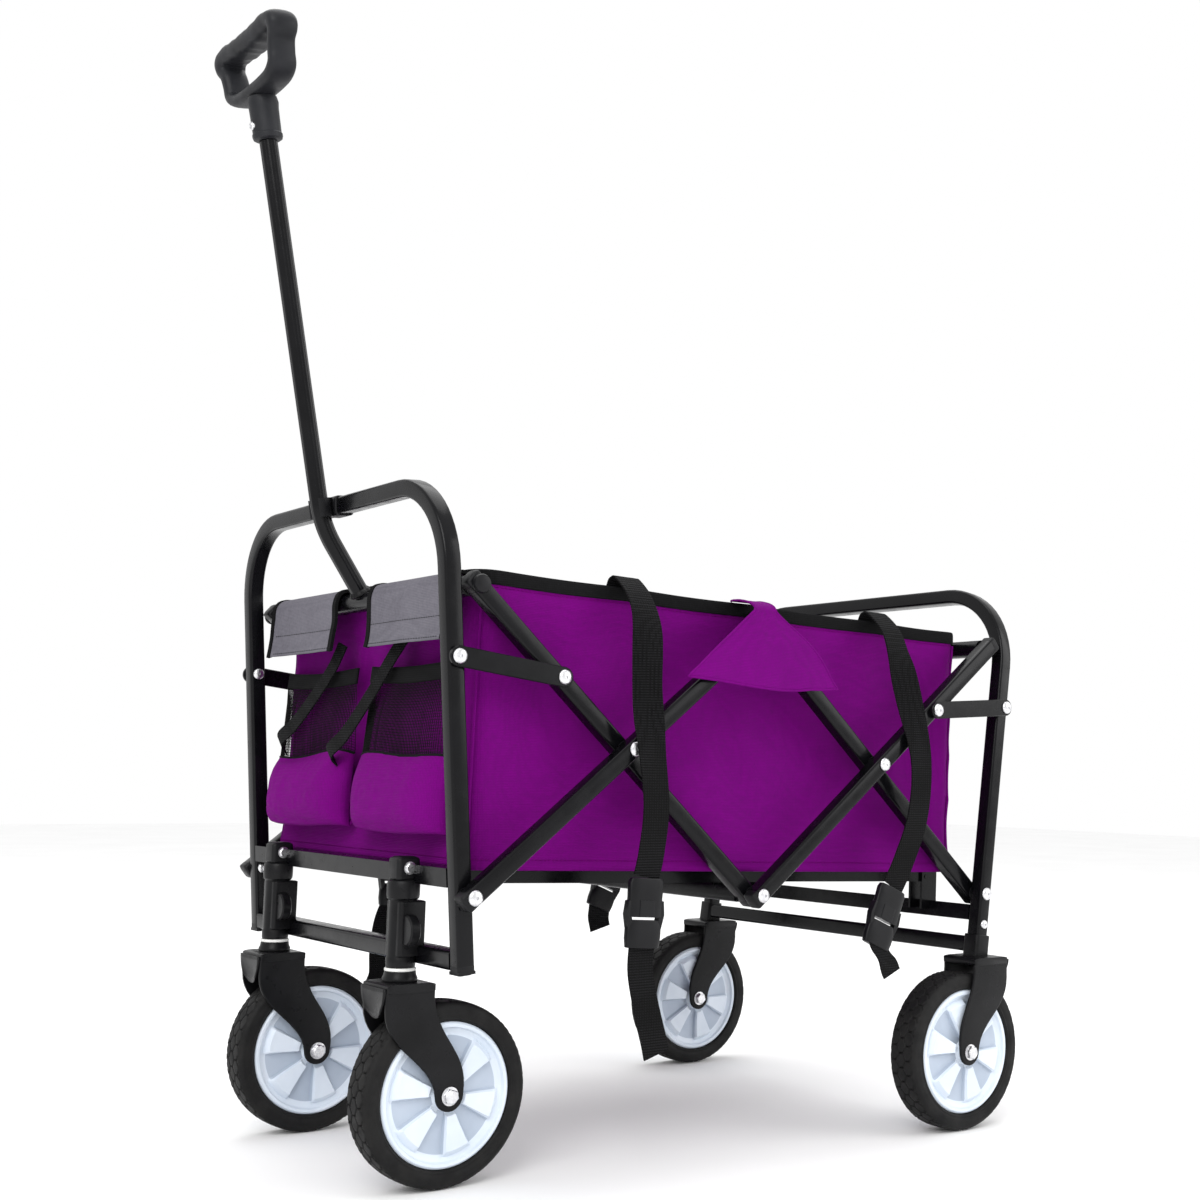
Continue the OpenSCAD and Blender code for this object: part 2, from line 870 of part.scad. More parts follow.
// Bolt with a hex head outside, a nut inside and a spacer each side of the hub
module axle_bolt(x, y, side) {
    reach = fork_inner + fork_wall;
    translate([x, y, wheel_r])
        rotate([90, 0, 0]) {
            cylinder(d = axle_d, h = 2 * reach + 2, center = true);
            for (face = SIDES)
                translate([0, 0, face * (reach + 3)])
                    cylinder(d = 15, h = 6, center = true, $fn = 6);
            for (face = SIDES)
                translate([0, 0, face * (fork_inner - fork_gap / 2)])
                    cylinder(d = 18, h = fork_gap - 2 * face_gap, center = true);
        }
}

module caster_bolt_left() {
    color(ZINC)
        axle_bolt(front_axle_x, LEFT * caster_offset, LEFT);
}

module caster_bolt_right() {
    color(ZINC)
        axle_bolt(front_axle_x, RIGHT * caster_offset, RIGHT);
}

module rear_axle_bolts() {
    color(ZINC)
        for (side = SIDES)
            axle_bolt(rear_axle_x, side * lane_out, side);
}

// ---------- Wheels ----------

module at_wheel(x, y) {
    translate([x, y, wheel_r])
        rotate([90, 0, 0])
            children();
}

module tyre(x, y) {
    shoulder = 9;
    color(NYLON)
        at_wheel(x, y)
            rotate_extrude($fn = 96)
                polygon([
                    [hub_d / 2, -tyre_width / 2],
                    [wheel_r - shoulder, -tyre_width / 2],
                    [wheel_r, -tyre_width / 2 + shoulder],
                    [wheel_r, tyre_width / 2 - shoulder],
                    [wheel_r - shoulder, tyre_width / 2],
                    [hub_d / 2, tyre_width / 2]
                ]);
}

module hub(x, y) {
    rim = 6;
    web = 10;
    boss_r = 15;
    color([0.88, 0.92, 0.97])
        at_wheel(x, y)
            rotate_extrude($fn = 96)
                polygon([
                    [axle_d / 2 + pin_clearance, -tyre_width / 2],
                    [boss_r, -tyre_width / 2],
                    [boss_r + 3, -web / 2 - 4],
                    [hub_d / 2 - rim - 6, -web / 2],
                    [hub_d / 2 - rim, -tyre_width / 2],
                    [hub_d / 2, -tyre_width / 2],
                    [hub_d / 2, tyre_width / 2],
                    [hub_d / 2 - rim, tyre_width / 2],
                    [hub_d / 2 - rim - 6, web / 2],
                    [boss_r + 3, web / 2 + 4],
                    [boss_r, tyre_width / 2],
                    [axle_d / 2 + pin_clearance, tyre_width / 2]
                ]);
}

module tyre_front_left() { tyre(front_axle_x, LEFT * caster_offset); }
module tyre_front_right() { tyre(front_axle_x, RIGHT * caster_offset); }
module tyre_rear_left() { tyre(rear_axle_x, LEFT * lane_out); }
module tyre_rear_right() { tyre(rear_axle_x, RIGHT * lane_out); }
module hub_front_left() { hub(front_axle_x, LEFT * caster_offset); }
module hub_front_right() { hub(front_axle_x, RIGHT * caster_offset); }
module hub_rear_left() { hub(rear_axle_x, LEFT * lane_out); }
module hub_rear_right() { hub(rear_axle_x, RIGHT * lane_out); }

// ---------- Fabric bed ----------

panel_back_x = -panel_front_x - panel_thickness;

module front_panel() {
    color(PURPLE)
        sloped()
            translate([panel_front_x, -bed_half_width, floor_z])
                cube([panel_thickness, 2 * bed_half_width, rim_z - floor_z]);
}

module rear_panel() {
    color(PURPLE)
        sloped()
            translate([panel_back_x, -bed_half_width, floor_z])
                cube([panel_thickness, 2 * bed_half_width, rim_z - floor_z]);
}

module side_panel(side) {
    room = panel_thickness + face_gap;
    length = panel_back_x - panel_front_x - panel_thickness - 2 * face_gap;
    color(PURPLE)
        sloped()
            translate([
                panel_front_x + room,
                side > 0 ? bed_half_width - panel_thickness : -bed_half_width,
                floor_z
            ])
                cube([length, panel_thickness, rim_z - floor_z]);
}

module left_panel() { side_panel(LEFT); }
module right_panel() { side_panel(RIGHT); }

// Half of the stiffened floor, carried by the rails of that end
module half_floor(end) {
    room = panel_thickness + 2;
    low = end > 0 ? face_gap : panel_front_x + room;
    high = end > 0 ? panel_back_x + panel_thickness - room : -face_gap;
    half_width = bed_half_width - panel_thickness - face_gap;
    color(PURPLE)
        sloped()
            translate([low, -half_width, floor_z])
                cube([high - low, 2 * half_width, panel_thickness]);
}

module front_floor_panel() { half_floor(FRONT); }
module rear_floor_panel() { half_floor(REAR); }

// Two flaps that wrap forward over the handle's cross tube
module front_flaps() {
    inner = 42;
    outer = 205;
    drop = 64;
    sheet = 2;
    top = TOP_END[1] + cross_tube_d / 2 + 1;
    face = -top_bar_x - cross_tube_d / 2 - 1;
    color(GREY)
        sloped()
            for (side = SIDES)
                translate([0, side > 0 ? inner : -outer, 0]) {
                    translate([face - sheet, 0, top - drop])
                        cube([sheet, outer - inner, drop + sheet]);
                    translate([face - sheet, 0, top])
                        cube([panel_front_x - face + sheet, outer - inner, sheet]);
                }
}

module front_pockets() {
    inner = 16;
    outer = 198;
    low = floor_z + 4;
    high = pivot_height + 212;
    color(PURPLE)
        sloped()
            for (side = SIDES)
                translate([panel_front_x - pocket_depth, side > 0 ? inner : -outer, low])
                    cube([pocket_depth, outer - inner, high - low]);
}

// Webbing straps inside the bed, over the rim and down to their buckles
module side_straps() {
    sheet = 1.5;
    positions = [-168, 187];
    y = bed_half_width - panel_thickness - sheet - face_gap;
    color(WEBBING)
        sloped()
            for (side = SIDES, x = positions)
                translate([x - strap_width / 2, side > 0 ? y : -y - sheet, floor_z + panel_thickness + 1])
                    cube([strap_width, sheet, rim_z - floor_z - panel_thickness]);
}

front_arch();
front_lower_bar();
front_floor_bar();
front_leg_caps();
handle_clip();
caster_socket_left();
caster_socket_right();
front_leg_rivets();
front_rising_bar_left();
front_rising_bar_right();
front_rising_rivets();
front_falling_bar_left();
front_falling_bar_right();
centre_cross_bar();
handle_bushes();
rear_falling_bar_left();
rear_falling_bar_right();
rear_rising_bar_left();
rear_rising_bar_right();
rear_top_bar();
rear_rising_rivets();
rear_arch();
rear_lower_bar();
rear_floor_bar();
rear_leg_rivets();
rear_fork_left();
rear_fork_right();
rear_axle_bolts();
front_links();
front_link_rivets();
rear_links();
rear_link_rivets();
front_floor_rails();
rear_floor_rails();
handle_tube();
handle_cross_tube();
handle_collar();
handle_grip();
handle_screw();
caster_fork_left();
caster_fork_right();
caster_bolt_left();
caster_bolt_right();
tyre_front_left();
tyre_front_right();
tyre_rear_left();
tyre_rear_right();
hub_front_left();
hub_front_right();
hub_rear_left();
hub_rear_right();
front_panel();
rear_panel();
left_panel();
right_panel();
front_floor_panel();
rear_floor_panel();
front_flaps();
front_pockets();
side_straps();
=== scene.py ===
import json
import math
from bisect import bisect

import bpy
from mathutils import Matrix, Vector, noise


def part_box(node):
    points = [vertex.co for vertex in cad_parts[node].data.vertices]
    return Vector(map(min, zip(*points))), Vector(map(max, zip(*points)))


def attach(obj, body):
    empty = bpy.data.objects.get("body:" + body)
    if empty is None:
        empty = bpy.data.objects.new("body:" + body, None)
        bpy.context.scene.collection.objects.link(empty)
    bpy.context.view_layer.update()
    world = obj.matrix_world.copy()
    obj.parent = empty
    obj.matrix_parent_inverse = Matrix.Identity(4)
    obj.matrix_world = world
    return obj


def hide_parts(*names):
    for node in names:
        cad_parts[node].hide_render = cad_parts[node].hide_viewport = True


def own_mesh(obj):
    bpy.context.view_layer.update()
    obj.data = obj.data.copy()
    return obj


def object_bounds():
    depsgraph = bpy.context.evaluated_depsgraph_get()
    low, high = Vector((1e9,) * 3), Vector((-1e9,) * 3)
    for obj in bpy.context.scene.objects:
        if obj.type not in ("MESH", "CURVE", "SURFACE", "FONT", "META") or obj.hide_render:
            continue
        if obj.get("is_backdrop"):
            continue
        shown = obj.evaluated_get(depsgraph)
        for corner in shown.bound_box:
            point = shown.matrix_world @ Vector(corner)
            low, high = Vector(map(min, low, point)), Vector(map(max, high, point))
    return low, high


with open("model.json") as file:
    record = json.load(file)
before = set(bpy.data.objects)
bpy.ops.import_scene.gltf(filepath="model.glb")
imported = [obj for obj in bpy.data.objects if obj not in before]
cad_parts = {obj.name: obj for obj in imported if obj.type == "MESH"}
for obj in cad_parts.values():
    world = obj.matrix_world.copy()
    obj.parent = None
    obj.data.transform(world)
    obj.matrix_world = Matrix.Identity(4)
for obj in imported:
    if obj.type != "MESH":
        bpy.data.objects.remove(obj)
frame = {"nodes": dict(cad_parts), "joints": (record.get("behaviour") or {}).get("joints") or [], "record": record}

cad_box = [list(v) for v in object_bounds()]

# ---------- Frame of reference ----------

MM = 0.001
SLOPE = math.radians(1.5)
LEAN = math.radians(6.1)
TUBE = 0.009            # half of the square tube
EX = Vector((math.cos(SLOPE), 0, -math.sin(SLOPE)))
EZ = Vector((math.sin(SLOPE), 0, math.cos(SLOPE)))
EY = Vector((0, 1, 0))
SIDES = {"left": -1, "right": 1}

pivot = {j["name"]: Vector(j["pos_m"]) for j in frame["joints"]}
FOOT = pivot["fold"]
CROSS = pivot["front_cross_pivot"]
MID_TOP = pivot["middle_top_pivot"]
REAR_CROSS = pivot["rear_cross_pivot"]
REAR_FOOT = pivot["rear_leg_pivot"]
TOP = pivot["front_liner_hang"]
REAR_TOP = pivot["rear_liner_hang"]
LINK_LEG = pivot["front_link_pivot"]
REAR_LINK_LEG = pivot["rear_link_pivot"]
RAIL_FRONT = pivot["front_rail_pivot"]
RAIL_REAR = pivot["rear_rail_pivot"]
MID_LOW = CROSS + (CROSS - TOP).normalized() * (CROSS - FOOT).length
ORIGIN = (FOOT + REAR_FOOT) / 2                 # the frame's own origin, at pivot height
PIVOT_H = 0.276


def F(x, y, z):
    """A point given in the sloping frame, in millimetres, with z from the ground end of the frame's axis."""
    p = ORIGIN + EX * (x * MM) + EZ * (z * MM - PIVOT_H)
    return Vector((p.x, y * MM, p.z))


def box_mid(node):
    lo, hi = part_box(node)
    return (lo + hi) / 2


LANE_IN = box_mid("front_falling_bar_right").y
LANE_OUT = box_mid("front_rising_bar_right").y


def at(p, y):
    return Vector((p.x, y, p.z))


# ---------- Materials ----------

def tree(name, base, rough, metallic=0.0, specular=0.5, coat=0.0, coat_rough=0.1, sheen=0.0):
    m = bpy.data.materials.new(name)
    m.use_nodes = True
    nt = m.node_tree
    b = nt.nodes["Principled BSDF"]
    b.inputs["Base Color"].default_value = (*base, 1)
    b.inputs["Roughness"].default_value = rough
    b.inputs["Metallic"].default_value = metallic
    b.inputs["Specular IOR Level"].default_value = specular
    b.inputs["Coat Weight"].default_value = coat
    b.inputs["Coat Roughness"].default_value = coat_rough
    b.inputs["Sheen Weight"].default_value = sheen
    coords = nt.nodes.new("ShaderNodeTexCoord")
    return m, nt, b, coords.outputs["Object"]


def noise_tex(nt, vec, scale, detail=3.0, rough=0.5):
    n = nt.nodes.new("ShaderNodeTexNoise")
    n.inputs["Scale"].default_value = scale
    n.inputs["Detail"].default_value = detail
    n.inputs["Roughness"].default_value = rough
    nt.links.new(vec, n.inputs["Vector"])
    return n.outputs["Fac"]


def ramp(nt, fac, stops):
    r = nt.nodes.new("ShaderNodeValToRGB")
    el = r.color_ramp.elements
    while len(el) < len(stops):
        el.new(0.5)
    for e, (pos, col) in zip(el, stops):
        e.position = pos
        e.color = (*col, 1) if len(col) == 3 else col
    nt.links.new(fac, r.inputs["Fac"])
    return r.outputs["Color"]


def grey(v):
    return (v, v, v)


def math_node(nt, op, a, b=None):
    n = nt.nodes.new("ShaderNodeMath")
    n.operation = op
    for i, v in enumerate((a, b)):
        if v is None:
            continue
        if isinstance(v, (int, float)):
            n.inputs[i].default_value = v
        else:
            nt.links.new(v, n.inputs[i])
    return n.outputs[0]


def bump(nt, b, height, strength, distance):
    n = nt.nodes.new("ShaderNodeBump")
    n.inputs["Strength"].default_value = strength
    n.inputs["Distance"].default_value = distance
    nt.links.new(height, n.inputs["Height"])
    nt.links.new(n.outputs["Normal"], b.inputs["Normal"])


def wave(nt, vec, axis, scale):
    n = nt.nodes.new("ShaderNodeTexWave")
    n.bands_direction = axis
    n.inputs["Scale"].default_value = scale
    n.inputs["Distortion"].default_value = 0.25
    n.inputs["Detail"].default_value = 1.0
    n.inputs["Detail Scale"].default_value = 0.4
    nt.links.new(vec, n.inputs["Vector"])
    return n.outputs["Fac"]


def weave(nt, vec, pitch):
    """Threads over and under, whichever way the cloth faces."""
    s = 0.31416 / pitch
    x, y, z = (wave(nt, vec, a, s) for a in "XYZ")
    return math_node(nt, "MULTIPLY", math_node(nt, "ADD", x, y), z)


def gloss_black():
    m, nt, b, v = tree("powder_coat", (0.004, 0.004, 0.005), 0.26, specular=0.16, coat=0.03, coat_rough=0.1)
    big = noise_tex(nt, v, 14, 4)
    nt.links.new(ramp(nt, big, [(0.3, (0.0015, 0.0015, 0.002)), (0.75, (0.004, 0.004, 0.005))]), b.inputs["Base Color"])
    nt.links.new(ramp(nt, noise_tex(nt, v, 60, 5, 0.6), [(0.35, grey(0.16)), (0.7, grey(0.3))]), b.inputs["Roughness"])
    bump(nt, b, noise_tex(nt, v, 900, 2), 0.12, 0.0003)
    return m


def satin_black(name="formed_steel_black"):
    m, nt, b, v = tree(name, (0.005, 0.005, 0.006), 0.34, specular=0.16)
    nt.links.new(ramp(nt, noise_tex(nt, v, 25, 4), [(0.3, (0.003, 0.003, 0.0035)), (0.75, (0.008, 0.008, 0.009))]),
                 b.inputs["Base Color"])
    nt.links.new(ramp(nt, noise_tex(nt, v, 90, 4, 0.6), [(0.35, grey(0.26)), (0.7, grey(0.42))]), b.inputs["Roughness"])
    bump(nt, b, noise_tex(nt, v, 1500, 2), 0.25, 0.0003)
    return m


def zinc():
    m, nt, b, v = tree("zinc_plate", (0.72, 0.72, 0.73), 0.3, metallic=1.0)
    nt.links.new(ramp(nt, noise_tex(nt, v, 180, 4), [(0.3, (0.56, 0.56, 0.58)), (0.7, (0.82, 0.82, 0.83))]),
                 b.inputs["Base Color"])
    nt.links.new(ramp(nt, noise_tex(nt, v, 400, 3), [(0.3, grey(0.22)), (0.75, grey(0.42))]), b.inputs["Roughness"])
    bump(nt, b, noise_tex(nt, v, 1200, 2), 0.1, 0.0002)
    return m


def plastic(name, base, rough, grain=0.2):
    m, nt, b, v = tree(name, base, rough, specular=0.5 if max(base) > 0.3 else 0.18)
    dark, light = tuple(c * 0.8 for c in base), tuple(min(1, c * 1.25) for c in base)
    nt.links.new(ramp(nt, noise_tex(nt, v, 30, 3), [(0.3, dark), (0.75, light)]), b.inputs["Base Color"])
    nt.links.new(ramp(nt, noise_tex(nt, v, 120, 3), [(0.3, grey(rough - 0.06)), (0.75, grey(rough + 0.08))]),
                 b.inputs["Roughness"])
    bump(nt, b, noise_tex(nt, v, 2200, 2), grain, 0.0003)
    return m


def rubber():
    m, nt, b, v = tree("tyre_rubber", (0.010, 0.010, 0.011), 0.62, specular=0.16)
    nt.links.new(ramp(nt, noise_tex(nt, v, 40, 5, 0.65), [(0.3, (0.005, 0.005, 0.0055)), (0.8, (0.015, 0.0145, 0.014))]),
                 b.inputs["Base Color"])
    nt.links.new(ramp(nt, noise_tex(nt, v, 70, 4), [(0.3, grey(0.52)), (0.75, grey(0.74))]), b.inputs["Roughness"])
    bump(nt, b, noise_tex(nt, v, 700, 4, 0.7), 0.35, 0.0006)
    return m


def hub_plastic(name, low, high):
    m, nt, b, v = tree(name, low, 0.36)
    nt.links.new(ramp(nt, noise_tex(nt, v, 18, 3), [(0.3, low), (0.75, high)]),
                 b.inputs["Base Color"])
    nt.links.new(ramp(nt, noise_tex(nt, v, 140, 3), [(0.3, grey(0.3)), (0.75, grey(0.44))]), b.inputs["Roughness"])
    bump(nt, b, noise_tex(nt, v, 1600, 2), 0.1, 0.0002)
    return m


def cloth(name, dark, light, pitch=0.0016, strength=0.35, rough=0.85, sheen=0.0, depth=0.0004):
    m, nt, b, v = tree(name, light, rough, specular=0.06, sheen=sheen)
    w = weave(nt, v, pitch)
    blotch = noise_tex(nt, v, 9, 4, 0.55)
    fine = noise_tex(nt, v, 260, 3, 0.6)
    mixed = math_node(nt, "ADD", math_node(nt, "MULTIPLY", w, 0.18),
                      math_node(nt, "ADD", math_node(nt, "MULTIPLY", blotch, 0.45), math_node(nt, "MULTIPLY", fine, 0.5)))
    nt.links.new(ramp(nt, mixed, [(0.3, dark), (0.95, light)]), b.inputs["Base Color"])
    nt.links.new(ramp(nt, fine, [(0.2, grey(rough - 0.1)), (0.8, grey(min(1, rough + 0.1)))]), b.inputs["Roughness"])
    bump(nt, b, math_node(nt, "ADD", w, math_node(nt, "MULTIPLY", fine, 0.4)), strength, depth)
    return m


def webbing_mat():
    m, nt, b, v = tree("webbing", (0.008, 0.008, 0.008), 0.75, specular=0.08)
    ribs = math_node(nt, "MULTIPLY", wave(nt, v, "Z", 0.31416 / 0.0026),
                     math_node(nt, "ADD", wave(nt, v, "X", 0.31416 / 0.003), wave(nt, v, "Y", 0.31416 / 0.003)))
    fine = noise_tex(nt, v, 300, 3)
    nt.links.new(ramp(nt, math_node(nt, "ADD", math_node(nt, "MULTIPLY", ribs, 0.5), math_node(nt, "MULTIPLY", fine, 0.5)),
                      [(0.2, (0.002, 0.002, 0.002)), (0.95, (0.012, 0.012, 0.013))]), b.inputs["Base Color"])
    nt.links.new(ramp(nt, fine, [(0.2, grey(0.62)), (0.8, grey(0.86))]), b.inputs["Roughness"])
    bump(nt, b, ribs, 0.7, 0.0009)
    return m


MAT = {
    "coat": gloss_black(),
    "formed": satin_black(),
    "zinc": zinc(),
    "plug": plastic("black_plug", (0.006, 0.006, 0.007), 0.42),
    "grip": plastic("grip_plastic", (0.014, 0.0145, 0.017), 0.44, 0.3),
    "buckle": plastic("buckle_plastic", (0.005, 0.005, 0.006), 0.34, 0.1),
    "nylon": plastic("white_nylon", (0.72, 0.72, 0.70), 0.4, 0.05),
    "rubber": rubber(),
    "hub": hub_plastic("hub_plastic", (0.60, 0.67, 0.76), (0.70, 0.76, 0.84)),
    # painted shade: a darker copy of the hub plastic, used on the hub's recessed sectors
    "hub_recess_painted_shade": hub_plastic("hub_plastic_recess_painted_shade", (0.36, 0.42, 0.51), (0.45, 0.51, 0.60)),
    "purple": cloth("purple_oxford", (0.105, 0.0005, 0.115), (0.175, 0.001, 0.185)),
    # painted shade: a darker copy of the purple fabric, used on the bag's inner side and its floor pads
    "purple_dark": cloth("purple_inside_painted_shade", (0.045, 0.0, 0.05), (0.09, 0.0, 0.095)),
    "grey": cloth("grey_oxford", (0.095, 0.09, 0.108), (0.185, 0.178, 0.205)),
    "binding": cloth("black_binding", (0.003, 0.003, 0.003), (0.012, 0.012, 0.013), pitch=0.0022),
    "webbing": webbing_mat(),
    "net": cloth("net_cord", (0.003, 0.003, 0.003), (0.014, 0.014, 0.014), pitch=0.001),
    "thread_purple": cloth("purple_thread", (0.10, 0.0, 0.09), (0.2, 0.0, 0.18), pitch=0.0008),
    "thread_grey": cloth("grey_thread", (0.02, 0.02, 0.022), (0.05, 0.05, 0.055), pitch=0.0008),
}
SLOT_MAT = {"black_steel": "formed", "zinc": "zinc", "black_plastic": "plug", "grip_plastic": "grip",
            "rubber": "rubber", "wheel_plastic": "hub", "purple_fabric": "purple", "grey_fabric": "grey",
            "webbing": "webbing"}
slot_of = {s["node"]: s["material_slot"] for s in frame["record"]["subparts"]}
for node, obj in frame["nodes"].items():
    mat = MAT[SLOT_MAT[slot_of[node]]]
    obj.data.materials.clear()
    obj.data.materials.append(mat)
    for poly in obj.data.polygons:
        poly.material_index = 0

# ---------- Mesh helpers ----------

def finish_mesh(name, verts, faces, mat, smooth_angle=40, indices=None):
    me = bpy.data.meshes.new(name)
    me.from_pydata([tuple(v) for v in verts], [], faces)
    mats = mat if isinstance(mat, list) else [mat]
    for m in mats:
        me.materials.append(MAT[m])
    if indices:
        me.polygons.foreach_set("material_index", indices)
    me.update()
    o = bpy.data.objects.new(name, me)
    bpy.context.collection.objects.link(o)
    if smooth_angle:
        me.polygons.foreach_set("use_smooth", [True] * len(me.polygons))
        try:
            me.set_sharp_from_angle(angle=math.radians(smooth_angle))
        except AttributeError:
            pass
    return o


def place(obj, body, slot, *nodes):
    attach(obj, body)
    if nodes:
        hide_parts(*nodes)
    return obj


def modifier(obj, kind, **settings):
    m = obj.modifiers.new(kind.lower(), kind)
    for k, v in settings.items():
        setattr(m, k, v)
    return m


def rounded_square(h, r, n=4):
    pts = []
    for cx, cy, a0 in ((1, 1, 0), (-1, 1, 90), (-1, -1, 180), (1, -1, 270)):
        for i in range(n + 1):
            a = math.radians(a0 + 90 * i / n)
            pts.append((cx * (h - r) + r * math.cos(a), cy * (h - r) + r * math.sin(a)))
    return pts


def circle(r, n=32):
    return [(r * math.cos(2 * math.pi * i / n), r * math.sin(2 * math.pi * i / n)) for i in range(n)]


def scaled(ring, k):
    return [(a * k, b * k) for a, b in ring]


def sweep(name, path, ring, side, mat, closed=False, end_round=0.0, smooth_angle=40):
    """A tube along a path. ring is the section, or a function of the point's number; side is the section's first axis."""
    n = len(path)
    rows = []
    lengths = [ring(i) if callable(ring) else ring for i in range(n)]

    def frame_at(i):
        a = path[(i - 1) % n] if closed or i > 0 else path[i]
        b = path[(i + 1) % n] if closed or i < n - 1 else path[i]
        t = (b - a).normalized()
        s = (side(i) if callable(side) else side)
        u = (s - t * s.dot(t)).normalized()
        return t, u, t.cross(u)

    for i in range(n):
        t, u, w = frame_at(i)
        rows.append([path[i] + u * a + w * b for a, b in lengths[i]])
    if end_round and not closed:
        size = max(abs(a) for a, _ in lengths[0])
        t0, u0, w0 = frame_at(0)
        t1, u1, w1 = frame_at(n - 1)
        steps = (0.25, 0.6, 1.0)
        for k in steps:
            shrink = 1 - (1 - math.sqrt(max(0, 1 - k * k))) * end_round / size
            rows.append([path[-1] + t1 * end_round * k + (u1 * a + w1 * b) * shrink for a, b in lengths[-1]])
            rows.insert(0, [path[0] - t0 * end_round * k + (u0 * a + w0 * b) * shrink for a, b in lengths[0]])
    m = len(rows[0])
    verts = [v for row in rows for v in row]
    faces = []
    count = len(rows)
    for i in range(count if closed else count - 1):
        j = (i + 1) % count
        for k in range(m):
            l = (k + 1) % m
            faces.append((i * m + k, i * m + l, j * m + l, j * m + k))
    if not closed:
        faces.append(tuple(range(m))[::-1])
        faces.append(tuple((count - 1) * m + k for k in range(m)))
    return finish_mesh(name, verts, faces, mat, smooth_angle)


def lathe(name, profile, centre, axis, mat, n=48, smooth_angle=35, radial=None, index=None):
    """profile is (radius, along axis); one that starts and ends off the axis closes into a ring. radial moves a point by its angle and number."""
    axis = axis.normalized()
    u = axis.orthogonal().normalized()
    w = axis.cross(u)
    verts, faces, indices = [], [], []
    m = len(profile)
    for i in range(n):
        a = 2 * math.pi * i / n
        d = u * math.cos(a) + w * math.sin(a)
        for k, (r, h) in enumerate(profile):
            if radial:
                r, h = radial(a, k, r, h)
            verts.append(centre + d * r + axis * h)
    bored = profile[0][0] > 1e-5 and profile[-1][0] > 1e-5
    for i in range(n):
        j = (i + 1) % n
        for k in range(m if bored else m - 1):
            l = (k + 1) % m
            faces.append((i * m + k, j * m + k, j * m + l, i * m + l))
            indices.append(index(2 * math.pi * (i + 0.5) / n, profile[k][0]) if index else 0)
    return finish_mesh(name, verts, faces, mat, smooth_angle, indices if index else None)


def grid(name, nu, nv, point, mat, thickness=0.0, smooth_angle=None, indices=None, offset=0.0, closed_u=False):
    verts = [point(i / nu, j / nv) for i in range(nu if closed_u else nu + 1) for j in range(nv + 1)]
    m = nv + 1
    faces, index = [], []
    for i in range(nu):
        for j in range(nv):
            k = (i + 1) % nu if closed_u else i + 1
            faces.append((i * m + j, k * m + j, k * m + j + 1, i * m + j + 1))
            index.append(indices(i / nu, j / nv) if indices else 0)
    o = finish_mesh(name, verts, faces, mat, smooth_angle or 60, index)
    if thickness:
        modifier(o, "SOLIDIFY", thickness=thickness, offset=offset, use_even_offset=True)
    return o


def catmull(points, per=8, closed=False):
    n = len(points)
    out = []
    last = n if closed else n - 1
    for i in range(last):
        p0 = points[(i - 1) % n] if closed or i > 0 else points[0] * 2 - points[1]
        p1, p2 = points[i], points[(i + 1) % n]
        p3 = points[(i + 2) % n] if closed or i < n - 2 else points[-1] * 2 - points[-2]
        for k in range(per):
            t = k / per
            out.append(0.5 * ((2 * p1) + (p2 - p0) * t + (2 * p0 - 5 * p1 + 4 * p2 - p3) * t * t
                              + (3 * p1 - p0 - 3 * p2 + p3) * t ** 3))
    if not closed:
        out.append(points[-1].copy())
    return out


def ribbon(name, points, width, thick, across, mat="webbing", per=8):
    """A flat strap along points. across is the direction of its width, or a function of the share of its length."""
    path = catmull([Vector(p) for p in points], per)
    n = len(path)
    h, t = width / 2, thick / 2
    ring = [(h, t), (h * 0.5, t * 1.12), (0, t), (-h * 0.5, t * 1.12), (-h, t), (-h, -t), (0, -t), (h, -t)]
    side = (lambda i: across(i / (n - 1))) if callable(across) else across
    return sweep(name, path, ring, side, mat, smooth_angle=50)


def smooth(t):
    t = max(0.0, min(1.0, t))
    return t * t * (3 - 2 * t)


def lerp(a, b, t):
    return a + (b - a) * t

# ---------- Square-tube frame ----------

SQ = rounded_square(TUBE, 0.0032)


def leg_up(end):
    return (EX * (end * math.sin(LEAN)) + EZ * math.cos(LEAN)).normalized()


def arch_path(end, foot, half, rise, drop, radius):
    up = leg_up(end)
    top, bottom = rise / math.cos(LEAN), drop / math.cos(LEAN)

    def p(y, h):
        q = foot + up * h
        return Vector((q.x, y, q.z))

    steps = 14
    path = [p(-half, -bottom), p(-half, 0), p(-half, top - radius)]
    for i in range(1, steps + 1):
        a = math.pi / 2 * i / steps
        path.append(p(-half + radius - radius * math.cos(a), top - radius + radius * math.sin(a)))
    for i in range(0, steps + 1):
        a = math.pi / 2 * i / steps
        path.append(p(half - radius + radius * math.sin(a), top - radius + radius * math.cos(a)))
    path += [p(half, 0), p(half, -bottom)]
    return path


FRONT_RISE, REAR_RISE, DROP = 0.394, 0.369, 0.069
for end, name, foot, lane, rise, radius, body in (
        (-1, "front_arch", FOOT, LANE_IN, FRONT_RISE, 0.085, "front_frame"),
        (1, "rear_arch", REAR_FOOT, LANE_OUT, REAR_RISE, 0.095, "rear_frame")):
    normal = (EX * math.cos(LEAN) - EZ * (end * math.sin(LEAN))).normalized()
    o = sweep(name + "_tube", arch_path(end, foot, lane, rise, DROP, radius), SQ, normal, "coat", smooth_angle=30)
    place(o, body, "black_steel", name)


def cross_bar(name, node, centre, half, end, body):
    path = [at(centre, -half), at(centre, half)]
    o = sweep(name, path, SQ, leg_up(end) if end else EZ, "coat", smooth_angle=30)
    return place(o, body, "black_steel", node)


cross_bar("front_lower_cross_tube", "front_lower_bar", box_mid("front_lower_bar"), LANE_IN - TUBE, -1, "front_frame")
cross_bar("rear_lower_cross_tube", "rear_lower_bar", box_mid("rear_lower_bar"), LANE_OUT - TUBE, 1, "rear_frame")
cross_bar("centre_cross_tube", "centre_cross_bar", MID_LOW, LANE_IN - TUBE, 0, "front_falling_bars")


